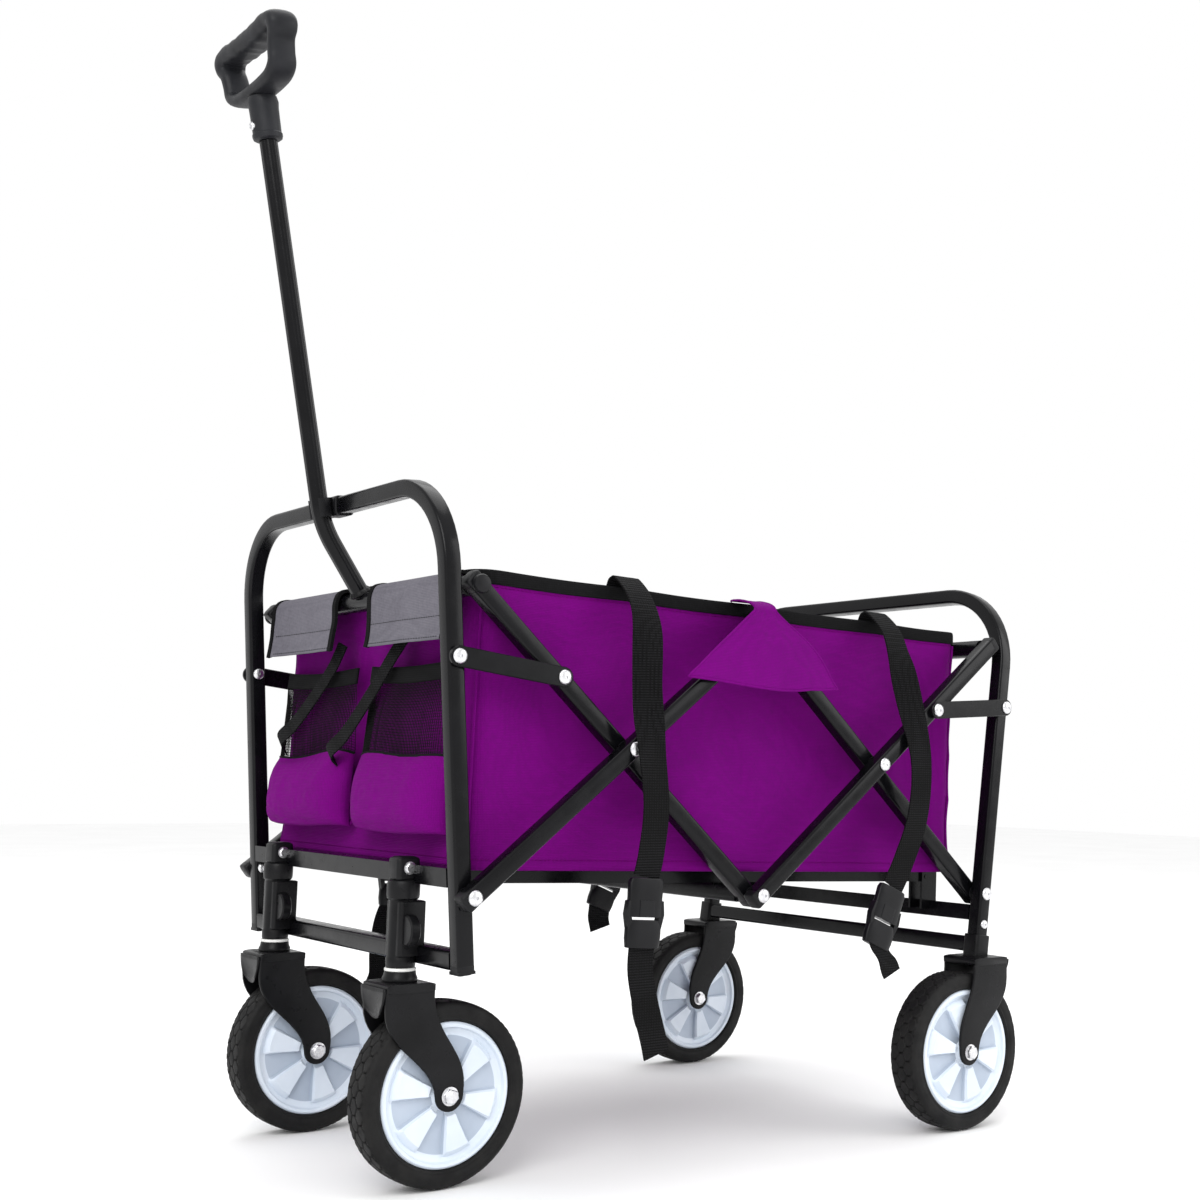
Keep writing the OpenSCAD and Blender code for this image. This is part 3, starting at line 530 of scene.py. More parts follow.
def end_plug(name, p, d, side, body):
    o = sweep(name, [p - d * 0.004, p + d * 0.001], rounded_square(TUBE + 0.0002, 0.0036), side, "plug",
              end_round=0.003, smooth_angle=50)
    place(o, body, "black_plastic")


def scissor_bar(node, a, b, y, body):
    d = (b - a).normalized()
    p, q = at(a, y) - d * TUBE, at(b, y) + d * TUBE
    o = sweep(node + "_tube", [p + d * 0.0015, q - d * 0.0015], SQ, EY, "coat", smooth_angle=30)
    place(o, body, "black_steel", node)
    end_plug(node + "_plug_low", p + d * 0.001, -d, EY, body)
    end_plug(node + "_plug_high", q - d * 0.001, d, EY, body)


for word, s in SIDES.items():
    scissor_bar("front_rising_bar_" + word, FOOT, MID_TOP, s * LANE_OUT, "front_rising_bars")
    scissor_bar("front_falling_bar_" + word, MID_LOW, TOP, s * LANE_IN, "front_falling_bars")
    scissor_bar("rear_falling_bar_" + word, MID_TOP, REAR_FOOT, s * LANE_IN, "rear_falling_bars")
    scissor_bar("rear_rising_bar_" + word, MID_LOW, REAR_TOP, s * LANE_OUT, "rear_rising_bars")
    # capped feet of the front legs
    foot_low = at(FOOT, s * LANE_IN) - leg_up(-1) * (DROP / math.cos(LEAN))
    end_plug("front_leg_plug_" + word, foot_low, -leg_up(-1), EY, "front_frame")

# ---------- Rivets ----------

HEAD = 0.0075


def head(name, p, y, s, body, r=HEAD, h=0.0035, washer=True, mat="zinc", slot="zinc"):
    dome = [(0.0, h * 0.55), (r * 0.16, h * 0.60), (r * 0.2, h), (r * 0.45, h * 0.97), (r * 0.75, h * 0.78),
            (r * 0.95, h * 0.45), (r, h * 0.12), (r * 0.97, 0.0), (0.0, 0.0)]
    o = lathe(name, dome, at(p, y), EY * s, mat, n=28, smooth_angle=45)
    place(o, body, slot)
    return o


face_in, face_out = LANE_IN - TUBE, LANE_OUT + TUBE
link_out_front = LANE_IN + TUBE + 0.002 + 0.004
link_out_rear = LANE_OUT + TUBE + 0.002 + 0.004
LINK_BAR = TOP + (CROSS - TOP).normalized() * 0.128
REAR_LINK_BAR = REAR_TOP + (REAR_CROSS - REAR_TOP).normalized() * 0.128


def washer(name, p, y0, y1, body, r=0.0085):
    prof = [(0.004, y0), (r, y0), (r, y1), (0.004, y1)]
    o = lathe(name, prof, at(p, 0), EY, "plug", n=24, smooth_angle=30)
    place(o, body, "black_plastic")


RIVETS = {"front_foot": "front_leg_rivets", "front_cross": "front_rising_rivets", "middle_low": "rear_rising_rivets",
          "rear_foot": "rear_leg_rivets", "front_link_bar": "front_link_rivets", "rear_link_bar": "rear_link_rivets"}
for word, s in SIDES.items():
    gap = 0.0003
    for tag, p, y, body in (
            ("front_foot", FOOT, face_out, "front_frame"),
            ("front_cross", CROSS, face_out, "front_rising_bars"),
            ("middle_top", MID_TOP, face_out, "front_rising_bars"),
            ("middle_low", MID_LOW, face_out, "rear_rising_bars"),
            ("rear_cross", REAR_CROSS, face_out, "rear_rising_bars"),
            ("rear_foot", REAR_FOOT, face_out, "rear_frame"),
            ("front_link_leg", LINK_LEG, link_out_front, "front_frame"),
            ("front_link_bar", LINK_BAR, link_out_front - gap, "front_links"),
            ("rear_link_leg", REAR_LINK_LEG, link_out_rear, "rear_frame"),
            ("rear_link_bar", REAR_LINK_BAR, link_out_rear - gap, "rear_links")):
        outer = head(f"{tag}_head_{word}", p, s * (y + gap), s, body)
        inner = LANE_OUT if tag in ("rear_link_leg", "rear_link_bar") else LANE_IN
        head(f"{tag}_nut_{word}", p, s * (inner - TUBE - gap), -s, body, r=0.0065)
        if s < 0 and tag in RIVETS:
            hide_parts(RIVETS[tag])
    # second bolt of the rear leg, through to its fork
    low = REAR_FOOT - leg_up(1) * 0.036
    head(f"rear_fork_bolt_{word}", low, s * (LANE_OUT + TUBE), s, "rear_frame", r=0.0055, h=0.003)
    for tag, p, body in (("front_foot", FOOT, "front_frame"), ("front_cross", CROSS, "front_rising_bars"),
                         ("middle_top", MID_TOP, "front_rising_bars"), ("middle_low", MID_LOW, "rear_rising_bars"),
                         ("rear_cross", REAR_CROSS, "rear_rising_bars"), ("rear_foot", REAR_FOOT, "rear_frame")):
        a, b = sorted((s * (LANE_IN + TUBE + gap), s * (LANE_OUT - TUBE - gap)))
        washer(f"{tag}_washer_{word}", p, a, b, body)
    for tag, p, lane, body in (("front_link_leg", LINK_LEG, LANE_IN, "front_frame"),
                               ("front_link_bar", LINK_BAR, LANE_IN, "front_links"),
                               ("rear_link_leg", REAR_LINK_LEG, LANE_OUT, "rear_frame"),
                               ("rear_link_bar", REAR_LINK_BAR, LANE_OUT, "rear_links")):
        a, b = sorted((s * (lane + TUBE + gap), s * (lane + TUBE + 0.002 - gap)))
        washer(f"{tag}_washer_{word}", p, a, b, body)

# ---------- Links ----------

def link(name, a, b, y, body, *nodes):
    d = (b - a).normalized()
    w = d.cross(EY)
    r, t = 0.010, 0.002
    outline = []
    for k in range(13):
        ang = math.pi / 2 + math.pi * k / 12
        outline.append(a + d * (r * math.cos(ang)) + w * (r * math.sin(ang)))
    for k in range(13):
        ang = -math.pi / 2 + math.pi * k / 12
        outline.append(b + d * (r * math.cos(ang)) + w * (r * math.sin(ang)))
    verts, n = [], len(outline)
    centre = (a + b) / 2
    for off, k in ((-t, 0.93), (-t * 0.6, 1.0), (t * 0.6, 1.0), (t, 0.93)):
        for q in outline:
            base = a if (q - a).dot(d) < (b - a).length / 2 else b
            v = base + (q - base) * k
            verts.append(Vector((v.x, y + off, v.z)))
    faces = []
    for i in range(3):
        for k in range(n):
            l = (k + 1) % n
            faces.append((i * n + k, i * n + l, (i + 1) * n + l, (i + 1) * n + k))
    faces.append(tuple(range(n))[::-1])
    faces.append(tuple(3 * n + k for k in range(n)))
    return place(finish_mesh(name, verts, faces, "coat", 30), body, "black_steel", *nodes)


for word, s in SIDES.items():
    link(f"front_link_{word}", LINK_LEG, LINK_BAR, s * (LANE_IN + TUBE + 0.004), "front_links", "front_links")
    link(f"rear_link_{word}", REAR_LINK_LEG, REAR_LINK_BAR, s * (LANE_OUT + TUBE + 0.004), "rear_links", "rear_links")

# ---------- Handle ----------

HL = math.radians(13)
BEND = TOP + EX * -0.056 + EZ * 0.076
HDIR = (EX * -math.sin(HL) + EZ * math.cos(HL)).normalized()
HANDLE_TOP = BEND + HDIR * 0.442
HFRONT = EY.cross(HDIR) * -1                       # forward, square to the tube
if HFRONT.x > 0:
    HFRONT = -HFRONT

HANDLE_R = 0.0095


def fluted(n=48):
    ring = []
    for i in range(n):
        a = 2 * math.pi * i / n
        r = HANDLE_R * (1 - 0.05 * (0.5 + 0.5 * math.cos(8 * a)) ** 2)
        ring.append((r * math.cos(a), r * math.sin(a)))
    return ring


d1 = (BEND - TOP).normalized()
path = [TOP + d1 * 0.008]
corner_len = 0.024
for i in range(0, 13):
    t = i / 12
    a, b, c = BEND - d1 * corner_len, BEND, BEND + HDIR * corner_len
    path.append(a * (1 - t) ** 2 + b * 2 * t * (1 - t) + c * t * t)
path.append(HANDLE_TOP)
place(sweep("handle_tube_fluted", path, fluted(), EY, "coat", smooth_angle=30), "handle", "black_steel", "handle_tube")
# weld bead where the tube meets the cross tube
place(lathe("handle_weld", [(0.0095, -0.002), (0.0118, 0.0), (0.0108, 0.003), (0.0095, 0.0045)],
            TOP + d1 * 0.0105, d1, "formed", n=32,
            radial=lambda a, k, r, h: (r + 0.0006 * math.sin(14 * a), h)), "handle", "black_steel")

collar = [(0.0, -0.030), (0.0125, -0.030), (0.0150, -0.0285), (0.0158, -0.026), (0.0158, -0.0235), (0.0150, -0.0225),
          (0.0152, -0.010), (0.0155, 0.004), (0.0162, 0.010), (0.0150, 0.016), (0.0, 0.017)]
place(lathe("handle_collar_moulded", collar, HANDLE_TOP, HDIR, "grip", n=48), "handle", "black_plastic", "handle_collar")
screw_p = HANDLE_TOP - HDIR * 0.015 + HFRONT * 0.0152
place(lathe("handle_screw_head", [(0.0, 0.0012), (0.0012, 0.0014), (0.0016, 0.0028), (0.0034, 0.0024), (0.0045, 0.001),
                                  (0.0045, -0.001), (0.0, -0.001)], screw_p, HFRONT, "zinc", n=24),
      "handle", "zinc", "handle_screw")

GRIP0 = HANDLE_TOP + HDIR * 0.016


def grip_point(y, h):
    return GRIP0 + EY * (y * MM) + HDIR * (h * MM)


loop = [(0, 7.5), (24, 8), (45, 10.5), (57, 18), (59.5, 30), (62.5, 41), (68.5, 51), (66.5, 59.5), (52, 62.5), (26, 61), (0, 60.5)]
loop = loop + [(-y, h) for y, h in loop[-2:0:-1]]
grip_path = catmull([grip_point(y, h) for y, h in loop], 7, closed=True)
grip_n = len(grip_path)


def grip_ring(i):
    h = (grip_path[i] - GRIP0).dot(HDIR)
    y = abs(grip_path[i].y)
    top = smooth((h - 0.042) / 0.015)
    foot = 1 - smooth((h - 0.010) / 0.018)
    depth = lerp(0.0145, 0.0165, top) + 0.001 * foot
    radial = lerp(0.0080, 0.0100, top) - 0.0006 * foot + 0.0006 * math.sin(y * 300) * top
    ring = []
    n = 24
    for k in range(n):
        a = 2 * math.pi * k / n
        c, s = math.cos(a), math.sin(a)
        p = 0.72
        ring.append((depth * math.copysign(abs(c) ** p, c), radial * math.copysign(abs(s) ** p, s)))
    return ring


place(sweep("handle_grip_loop", grip_path, grip_ring, HFRONT, "grip", closed=True, smooth_angle=180),
      "handle", "grip_plastic", "handle_grip")
# cross tube and its end collars
cross_half = LANE_IN - TUBE - 0.002
place(sweep("handle_cross_tube_round", [at(TOP, -cross_half), at(TOP, cross_half)], circle(0.0105, 40), EZ, "coat",
            end_round=0.001), "handle", "black_steel", "handle_cross_tube")
for word, s in SIDES.items():
    y = s * (LANE_IN + TUBE + 0.002)
    place(lathe(f"handle_pivot_cap_{word}", [(0.0, 0.005), (0.005, 0.0052), (0.0085, 0.004), (0.0095, 0.002), (0.0095, 0.0),
                                             (0.0, 0.0)], at(TOP, y), EY * s, "plug", n=32),
          "handle", "black_steel")

# ---------- Clip on the front arch ----------

arch_top = FOOT + leg_up(-1) * (FRONT_RISE / math.cos(LEAN))
along = (arch_top - BEND).dot(HDIR)
tube_at = BEND + HDIR * along
back = (arch_top - tube_at).dot(-HFRONT) - TUBE
ri, ro, hz = HANDLE_R + 0.0005, HANDLE_R + 0.0042, 0.010
outline = []
open_a = math.radians(62)
for k in range(25):
    a = open_a + (2 * math.pi - 2 * open_a) * k / 24
    outline.append((ro * math.cos(a), ro * math.sin(a)))
for k in range(25):
    a = 2 * math.pi - open_a - (2 * math.pi - 2 * open_a) * k / 24
    outline.append((ri * math.cos(a), ri * math.sin(a)))
clip_path = [tube_at - HDIR * hz, tube_at - HDIR * (hz - 0.001), tube_at + HDIR * (hz - 0.001), tube_at + HDIR * hz]
verts, faces = [], []
n = len(outline)
for row, p in enumerate(clip_path):
    for a, b in outline:
        verts.append(p + HFRONT * a + EY * b)
for i in range(3):
    for k in range(n):
        l = (k + 1) % n
        faces.append((i * n + k, i * n + l, (i + 1) * n + l, (i + 1) * n + k))
for i, flip in ((0, False), (3, True)):
    for k in range(24):
        q = (i * n + k, i * n + k + 1, i * n + n - 2 - k, i * n + n - 1 - k)
        faces.append(q if flip else q[::-1])
place(finish_mesh("handle_clip_jaws", verts, faces, "plug", 40), "front_frame", "black_plastic", "handle_clip")
saddle = sweep("handle_clip_saddle", [tube_at - HFRONT * ri, tube_at - HFRONT * (back - 0.0002)],
               [(a * 1.0, b * 1.35) for a, b in rounded_square(0.0095, 0.002)], HDIR, "plug")
place(saddle, "front_frame", "black_plastic")
wrap = sweep("handle_clip_strap", [at(arch_top, -0.013), at(arch_top, 0.013)], rounded_square(TUBE + 0.0016, 0.004),
             leg_up(-1), "plug", end_round=0.001)
place(wrap, "front_frame", "black_plastic")

# ---------- Casters, forks and wheels ----------

WALL = 0.003
INNER = 0.022           # half of the room between fork plates


def bezier(a, b, c, d, t):
    return a * (1 - t) ** 3 + b * 3 * t * (1 - t) ** 2 + c * 3 * t * t * (1 - t) + d * t ** 3


def fork_outline(crown_x, top, length, axle_x, wheel_r):
    s = math.copysign(1, axle_x - crown_x)
    eye, lead, trail = 0.015, crown_x - s * length / 2, crown_x + s * length / 2
    v = lambda x, z: Vector((x, 0, z))
    pts = [v(trail, top - 0.006), v(trail - s * 0.006, top), v(lead + s * 0.006, top), v(lead, top - 0.006)]
    pts += [bezier(v(lead, top - 0.024), v(lead, top - 0.062), v(axle_x - s * (eye + 0.003), wheel_r + 0.034),
                   v(axle_x - s * eye, wheel_r), i / 14) for i in range(15)]
    for k in range(1, 12):
        a = math.pi * k / 12
        pts.append(v(axle_x - s * eye * math.cos(a), wheel_r - eye * math.sin(a)))
    pts += [bezier(v(axle_x + s * eye, wheel_r), v(axle_x + s * (eye + 0.006), wheel_r + 0.042),
                   v(trail + s * 0.004, top - 0.056), v(trail, top - 0.014), i / 14) for i in range(15)]
    return pts


def plate(name, outline, y, out, body, nodes=()):
    """Pressed sheet with a softly rolled rim; out is +1 or -1, its outer side."""
    c = sum(outline, Vector()) / len(outline)
    verts, n = [], len(outline)
    layers = ((-WALL / 2, 0.0), (WALL * 0.2, 0.0), (WALL * 0.45, 0.0006), (WALL * 0.5, 0.0018))
    for off, inset in layers:
        for k, p in enumerate(outline):
            t = (outline[(k + 1) % n] - outline[k - 1]).normalized()
            w = EY.cross(t)
            if w.dot(c - p) < 0:
                w = -w
            q = p + w * inset
            verts.append(Vector((q.x, y + out * off, q.z)))
    faces = []
    for i in range(len(layers) - 1):
        for k in range(n):
            l = (k + 1) % n
            faces.append((i * n + k, i * n + l, (i + 1) * n + l, (i + 1) * n + k))
    faces.append(tuple(range(n))[::-1])
    faces.append(tuple((len(layers) - 1) * n + k for k in range(n)))
    o = finish_mesh(name, verts, faces, "formed", 45)
    return place(o, body, "black_steel", *nodes)


def crown(name, cx, y, top, length, body):
    h = 0.0045
    ring = [(a * (length / 2) / 0.01, b * h / 0.01) for a, b in rounded_square(0.01, 0.004, 5)]
    path = [Vector((cx, y + t, top - h + 0.0004)) for t in (-INNER - WALL * 0.9, INNER + WALL * 0.9)]
    o = sweep(name, path, ring, Vector((1, 0, 0)), "formed", end_round=0.001, smooth_angle=50)
    return place(o, body, "black_steel")


def skirt(name, x, y, top, depth, out, body):
    """The crown's folded front or rear lip, narrowing downwards."""
    def point(u, v):
        half = (INNER + WALL) * (1 - 0.35 * v * v)
        bow = 0.004 * (1 - (2 * u - 1) ** 2) * v
        return Vector((x + out * (0.0015 - bow), y + half * (2 * u - 1), top - 0.003 - depth * v * (0.75 + 0.25 * math.sin(math.pi * u))))
    o = grid(name, 14, 6, point, "formed", thickness=0.0022)
    return place(o, body, "black_steel")


def hex_bolt(name, p, axis, body, r=0.0075, h=0.0055, mat="zinc"):
    axis = axis.normalized()
    prof = [(0.0, h), (r * 0.78, h), (r * 0.98, h * 0.8), (r, 0.0006), (r * 1.2, 0.0004), (r * 1.2, -0.0004), (0.0, -0.0004)]

    def shape(a, k, rr, hh):
        if 2 <= k <= 3:
            w = (a % (math.pi / 3)) - math.pi / 6
            return rr * 0.9 / math.cos(w), hh
        return rr, hh
    return place(lathe(name, prof, p, axis, mat, n=36, smooth_angle=25, radial=shape), body, "zinc")


WHEEL_R = (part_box("tyre_front_left")[1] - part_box("tyre_front_left")[0]).z / 2
HUB_R = 0.0695
SECTORS = 6             # raised sectors of a hub


def tyre(name, node, body):
    c = box_mid(node)
    half, r_out = 0.020, WHEEL_R
    prof = [(HUB_R + 0.0003, -0.0155), (HUB_R + 0.0010, -0.0185), (HUB_R + 0.0030, -0.0196), (HUB_R + 0.0042, -0.0190),
            (HUB_R + 0.0056, -0.0196), (HUB_R + 0.0100, -0.0198), (HUB_R + 0.0120, -0.0193), (HUB_R + 0.0140, -0.0195),
            (r_out - 0.0035, -0.0183), (r_out - 0.0018, -0.0170), (r_out - 0.0008, -0.0155)]
    tread = [(r_out - 0.0007 * (abs(2 * k / 26 - 1) ** 3), (2 * k / 26 - 1) * 0.0148) for k in range(27)]
    prof = prof + tread + [(r, -h) for r, h in prof[::-1]]
    first, last = 9, len(prof) - 10
    teeth, n = 34, 476
    pitch = 2 * math.pi * r_out / teeth

    def shape(a, k, r, h):
        if k < first or k > last:
            return r, h
        u = a * r_out / pitch
        v = h / (pitch * 0.62)
        best = []
        for row in range(math.floor(v) - 1, math.floor(v) + 3):
            shift = 0.5 * (row % 2)
            for col in (math.floor(u - shift), math.floor(u - shift) + 1):
                du, dv = (u - shift - col) * pitch, (v - row) * pitch * 0.62
                best.append(math.hypot(du, dv * 1.25))
        best.sort()
        edge = (best[1] - best[0]) / 0.0021
        depth = 0.0019 * (1 - smooth(edge))
        side_cut = 1 - smooth((abs(h) - 0.0150) / 0.003) if abs(h) > 0.0150 else 1
        return r - depth * side_cut, h
    o = lathe(name, prof, c, EY, "rubber", n=n, smooth_angle=50, radial=shape)
    return place(o, body, "rubber", node)


def hub(name, node, body, s):
    c = box_mid(node)
    lo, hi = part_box(node)
    half = (hi - lo).y / 2
    out = half - 0.0005
    face = [(0.0095, out), (0.0125, out - 0.0003), (0.0135, out - 0.0030), (0.0150, out - 0.0045), (0.0300, out - 0.0062),
            (0.0480, out - 0.0068), (0.0590, out - 0.0062), (0.0630, out - 0.0040), (0.0645, out - 0.0012), (0.0672, out - 0.0008),
            (0.0682, out - 0.0014), (HUB_R, out - 0.0030)]
    dense = []
    for (r0, h0), (r1, h1) in zip(face, face[1:]):
        steps = max(1, int((r1 - r0) / 0.0025))
        dense += [(lerp(r0, r1, k / steps), lerp(h0, h1, k / steps)) for k in range(steps)]
    dense.append(face[-1])
    prof = [(0.0045, out)] + dense + [(HUB_R, -dense[-1][1])] + [(r, -h) for r, h in dense[-2::-1]] + [(0.0045, -out)]
    n = 192

    def shape(a, k, r, h):
        if 0.0165 < r < 0.0585:
            lift = smooth((math.cos(SECTORS * a) + 0.15) / 0.3)
            edge = smooth((r - 0.0165) / 0.004) * smooth((0.0585 - r) / 0.004)
            h += math.copysign(0.0060 * lift * edge, h)
        return r, h
    # Recessed sectors take the darker hub material, which is painted shade in the recesses
    def recess_shade_mask(a, r):
        return 1 if 0.0165 < r < 0.0585 and math.cos(SECTORS * a) < 0 else 0

    o = lathe(name, prof, c, EY, ["hub", "hub_recess_painted_shade"], n=n, smooth_angle=32, radial=shape, index=recess_shade_mask)
    place(o, body, "wheel_plastic", node)


def spacer(name, p, y0, y1, body):
    prof = [(0.0042, y0), (0.0088, y0), (0.0092, (y0 + y1) / 2), (0.0088, y1), (0.0042, y1)]
    place(lathe(name, prof, at(p, 0), EY, "plug", n=28), body, "black_plastic")


def axle(prefix, c, body, *nodes):
    reach = INNER + WALL
    shaft = sweep(prefix + "_shaft", [at(c, c.y - reach - 0.001), at(c, c.y + reach + 0.001)], circle(0.0039, 24), EX, "zinc")
    place(shaft, body, "zinc", *nodes)
    for k in (-1, 1):
        hex_bolt(f"{prefix}_{'nut' if k * c.y < 0 else 'head'}", at(c, c.y + k * (reach + 0.0003)), EY * k, body, h=0.0055)
        a, b = sorted((c.y + k * (INNER - 0.0002), c.y + k * (INNER - 0.0018)))
        spacer(f"{prefix}_spacer_{'out' if k * c.y > 0 else 'in'}", c, a, b, body)


STEM_X = pivot["caster_left_swivel"].x
CROWN = 2 * WHEEL_R + 0.020
SOCKET_LOW, SOCKET_HIGH = CROWN + 0.014, PIVOT_H + 0.024
for word, s in SIDES.items():
    c = box_mid("tyre_front_" + word)
    body = "caster_" + word
    base = Vector((STEM_X, c.y, 0))
    outline = fork_outline(STEM_X, CROWN, 0.052, c.x, WHEEL_R)
    for k in (-1, 1):
        nodes = ("caster_fork_" + word,) if k < 0 else ()
        plate(f"caster_fork_{word}_plate_{'outer' if k == s else 'inner'}", outline, c.y + k * (INNER + WALL / 2), k, body, nodes)
    crown(f"caster_fork_{word}_crown", STEM_X, c.y, CROWN, 0.052, body)
    skirt(f"caster_fork_{word}_lip", STEM_X - 0.026, c.y, CROWN, 0.030, -1, body)
    ring = [(0.0, 0.0), (0.0165, 0.0), (0.0170, 0.0008), (0.0170, 0.0040), (0.0158, 0.0062), (0.0150, 0.0106), (0.0, 0.0106)]
    place(lathe(f"caster_{word}_bearing_cup", ring, base + Vector((0, 0, CROWN)), EY.cross(Vector((1, 0, 0))) * -1, "formed"),
          body, "black_steel")
    white = [(0.0, 0.0106), (0.0148, 0.0106), (0.0154, 0.0112), (0.0154, 0.0126), (0.0146, 0.0136), (0.0, 0.0136)]
    place(lathe(f"caster_{word}_nylon_ring", white, base + Vector((0, 0, CROWN)), Vector((0, 0, 1)), "nylon"), body, "black_plastic")
    axle(f"caster_{word}_axle", c, body, "caster_bolt_" + word)
    wheel = "wheel_front_" + word
    tyre(f"tyre_front_{word}_treaded", "tyre_front_" + word, wheel)
    hub(f"hub_front_{word}_moulded", "hub_front_" + word, wheel, s)
    # socket on the frame, with its bracket, tab, knuckle cap and cross bolt
    lo, hi = SOCKET_LOW, SOCKET_HIGH
    prof = [(0.0, lo + 0.0003), (0.0140, lo + 0.0003), (0.0144, lo + 0.002), (0.0144, lo + 0.009), (0.0135, lo + 0.011), (0.0135, hi - 0.024),
            (0.0155, hi - 0.022), (0.0160, hi - 0.019), (0.0160, hi - 0.008), (0.0150, hi - 0.0055), (0.0110, hi - 0.004),
            (0.0115, hi - 0.002), (0.0, hi - 0.001)]
    place(lathe(f"caster_socket_{word}_barrel", prof, base, Vector((0, 0, 1)), "formed", n=40), "front_frame", "black_steel",
          "caster_socket_" + word)
    block = [(a * 1.28, b * 1.38) for a, b in rounded_square(0.0112, 0.003)]
    place(sweep(f"caster_socket_{word}_saddle", [base + Vector((0.004, 0, lo + 0.012)), base + Vector((0.004, 0, hi - 0.026))],
                block, Vector((1, 0, 0)), "formed", end_round=0.0015), "front_frame", "black_steel")
    cap = [(a * 1.15, b * 1.05) for a, b in rounded_square(0.0108, 0.004, 5)]
    top = base + Vector((0, 0, hi - 0.002))
    place(sweep(f"caster_socket_{word}_knuckle", [top, top + Vector((0, 0, 0.016))], cap, Vector((1, 0, 0)), "plug",
                end_round=0.004, smooth_angle=60), "front_frame", "black_plastic")
    hex_bolt(f"caster_socket_{word}_bolt", top + Vector((0, -0.0118, 0.009)), -EY, "front_frame", r=0.0052, h=0.003)
    hex_bolt(f"caster_socket_{word}_nut", top + Vector((0, 0.0118, 0.009)), EY, "front_frame", r=0.0052, h=0.003)
    ear = lathe(f"caster_socket_{word}_ear", [(0.0, -0.0055), (0.0135, -0.0055), (0.0150, -0.0040), (0.0150, 0.0040), (0.0135, 0.0055),
                                             (0.0, 0.0055)], base + Vector((-0.001, -0.0175, lo + 0.036)), Vector((1, 0, 0)), "formed", n=36)
    place(ear, "front_frame", "black_steel")
    # rear fork
    c = box_mid("tyre_rear_" + word)
    foot = REAR_FOOT - leg_up(1) * (DROP / math.cos(LEAN))
    crown_top = 2 * WHEEL_R + 0.016
    outline = fork_outline(foot.x, crown_top, 0.056, c.x, WHEEL_R)
    for k in (-1, 1):
        nodes = ("rear_fork_" + word,) if k < 0 else ()
        plate(f"rear_fork_{word}_plate_{'outer' if k == s else 'inner'}", outline, c.y + k * (INNER + WALL / 2), k, "rear_frame", nodes)
    crown(f"rear_fork_{word}_crown", foot.x, c.y, crown_top, 0.056, "rear_frame")
    skirt(f"rear_fork_{word}_lip", foot.x + 0.028, c.y, crown_top, 0.026, 1, "rear_frame")
    sleeve = rounded_square(TUBE + 0.0026, 0.0045)
    s0 = at(foot, s * LANE_OUT) - leg_up(1) * 0.006
    place(sweep(f"rear_fork_{word}_sleeve", [s0, s0 + leg_up(1) * 0.026], sleeve, EY, "formed", end_round=0.001), "rear_frame", "black_steel")
    nodes = ("rear_axle_bolts",) if s < 0 else ()
    axle(f"rear_{word}_axle", c, "rear_frame", *nodes)
    wheel = "wheel_rear_" + word
    tyre(f"tyre_rear_{word}_treaded", "tyre_rear_" + word, wheel)
    hub(f"hub_rear_{word}_moulded", "hub_rear_" + word, wheel, s)

# ---------- Bag ----------

HALF_W = 0.2218
BAG_X = 0.3405
FLOOR_Z, RIM_Z = 303, 589
CORNER = 0.026
long_side, cross_side, arc = 2 * (BAG_X - CORNER), 2 * (HALF_W - CORNER), math.pi / 2 * CORNER
PERIMETER = 2 * (long_side + cross_side) + 4 * arc


def loop_point(u, grow=0.0):
    """Point (x, y) and outward normal of the bag's outline; u from 0 to 1 starts in the middle of the front."""
    d = (u % 1.0) * PERIMETER
    runs = ((cross_side / 2, "line", (-BAG_X, 0), (0, -1)), (arc, "arc", (-BAG_X + CORNER, -HALF_W + CORNER), 180),
            (long_side, "line", (-BAG_X + CORNER, -HALF_W), (1, 0)), (arc, "arc", (BAG_X - CORNER, -HALF_W + CORNER), 270),
            (cross_side, "line", (BAG_X, -HALF_W + CORNER), (0, 1)), (arc, "arc", (BAG_X - CORNER, HALF_W - CORNER), 0),
            (long_side, "line", (BAG_X - CORNER, HALF_W), (-1, 0)), (arc, "arc", (-BAG_X + CORNER, HALF_W - CORNER), 90),
            (cross_side / 2 + 1e-9, "line", (-BAG_X, HALF_W - CORNER), (0, -1)))
    for length, kind, p, q in runs:
        if d <= length:
            if kind == "line":
                nx, ny = q[1], -q[0]
                return p[0] + q[0] * d + nx * grow, p[1] + q[1] * d + ny * grow, nx, ny
            a = math.radians(q + 90 * d / length)
            nx, ny = math.cos(a), math.sin(a)
            return p[0] + nx * (CORNER + grow), p[1] + ny * (CORNER + grow), nx, ny
        d -= length
    return -BAG_X, 0, -1, 0


def rim_sag(x, y):
    """The top edge droops between the corners, the straps and the scissor's top."""
    if abs(y) > HALF_W - 0.03:
        holds = (-0.33, -0.164, 0.0, 0.195, 0.33)
        for a, b in zip(holds, holds[1:]):
            if a <= x <= b:
                return -0.0014 * math.sin(math.pi * (x - a) / (b - a))
    return 0.0


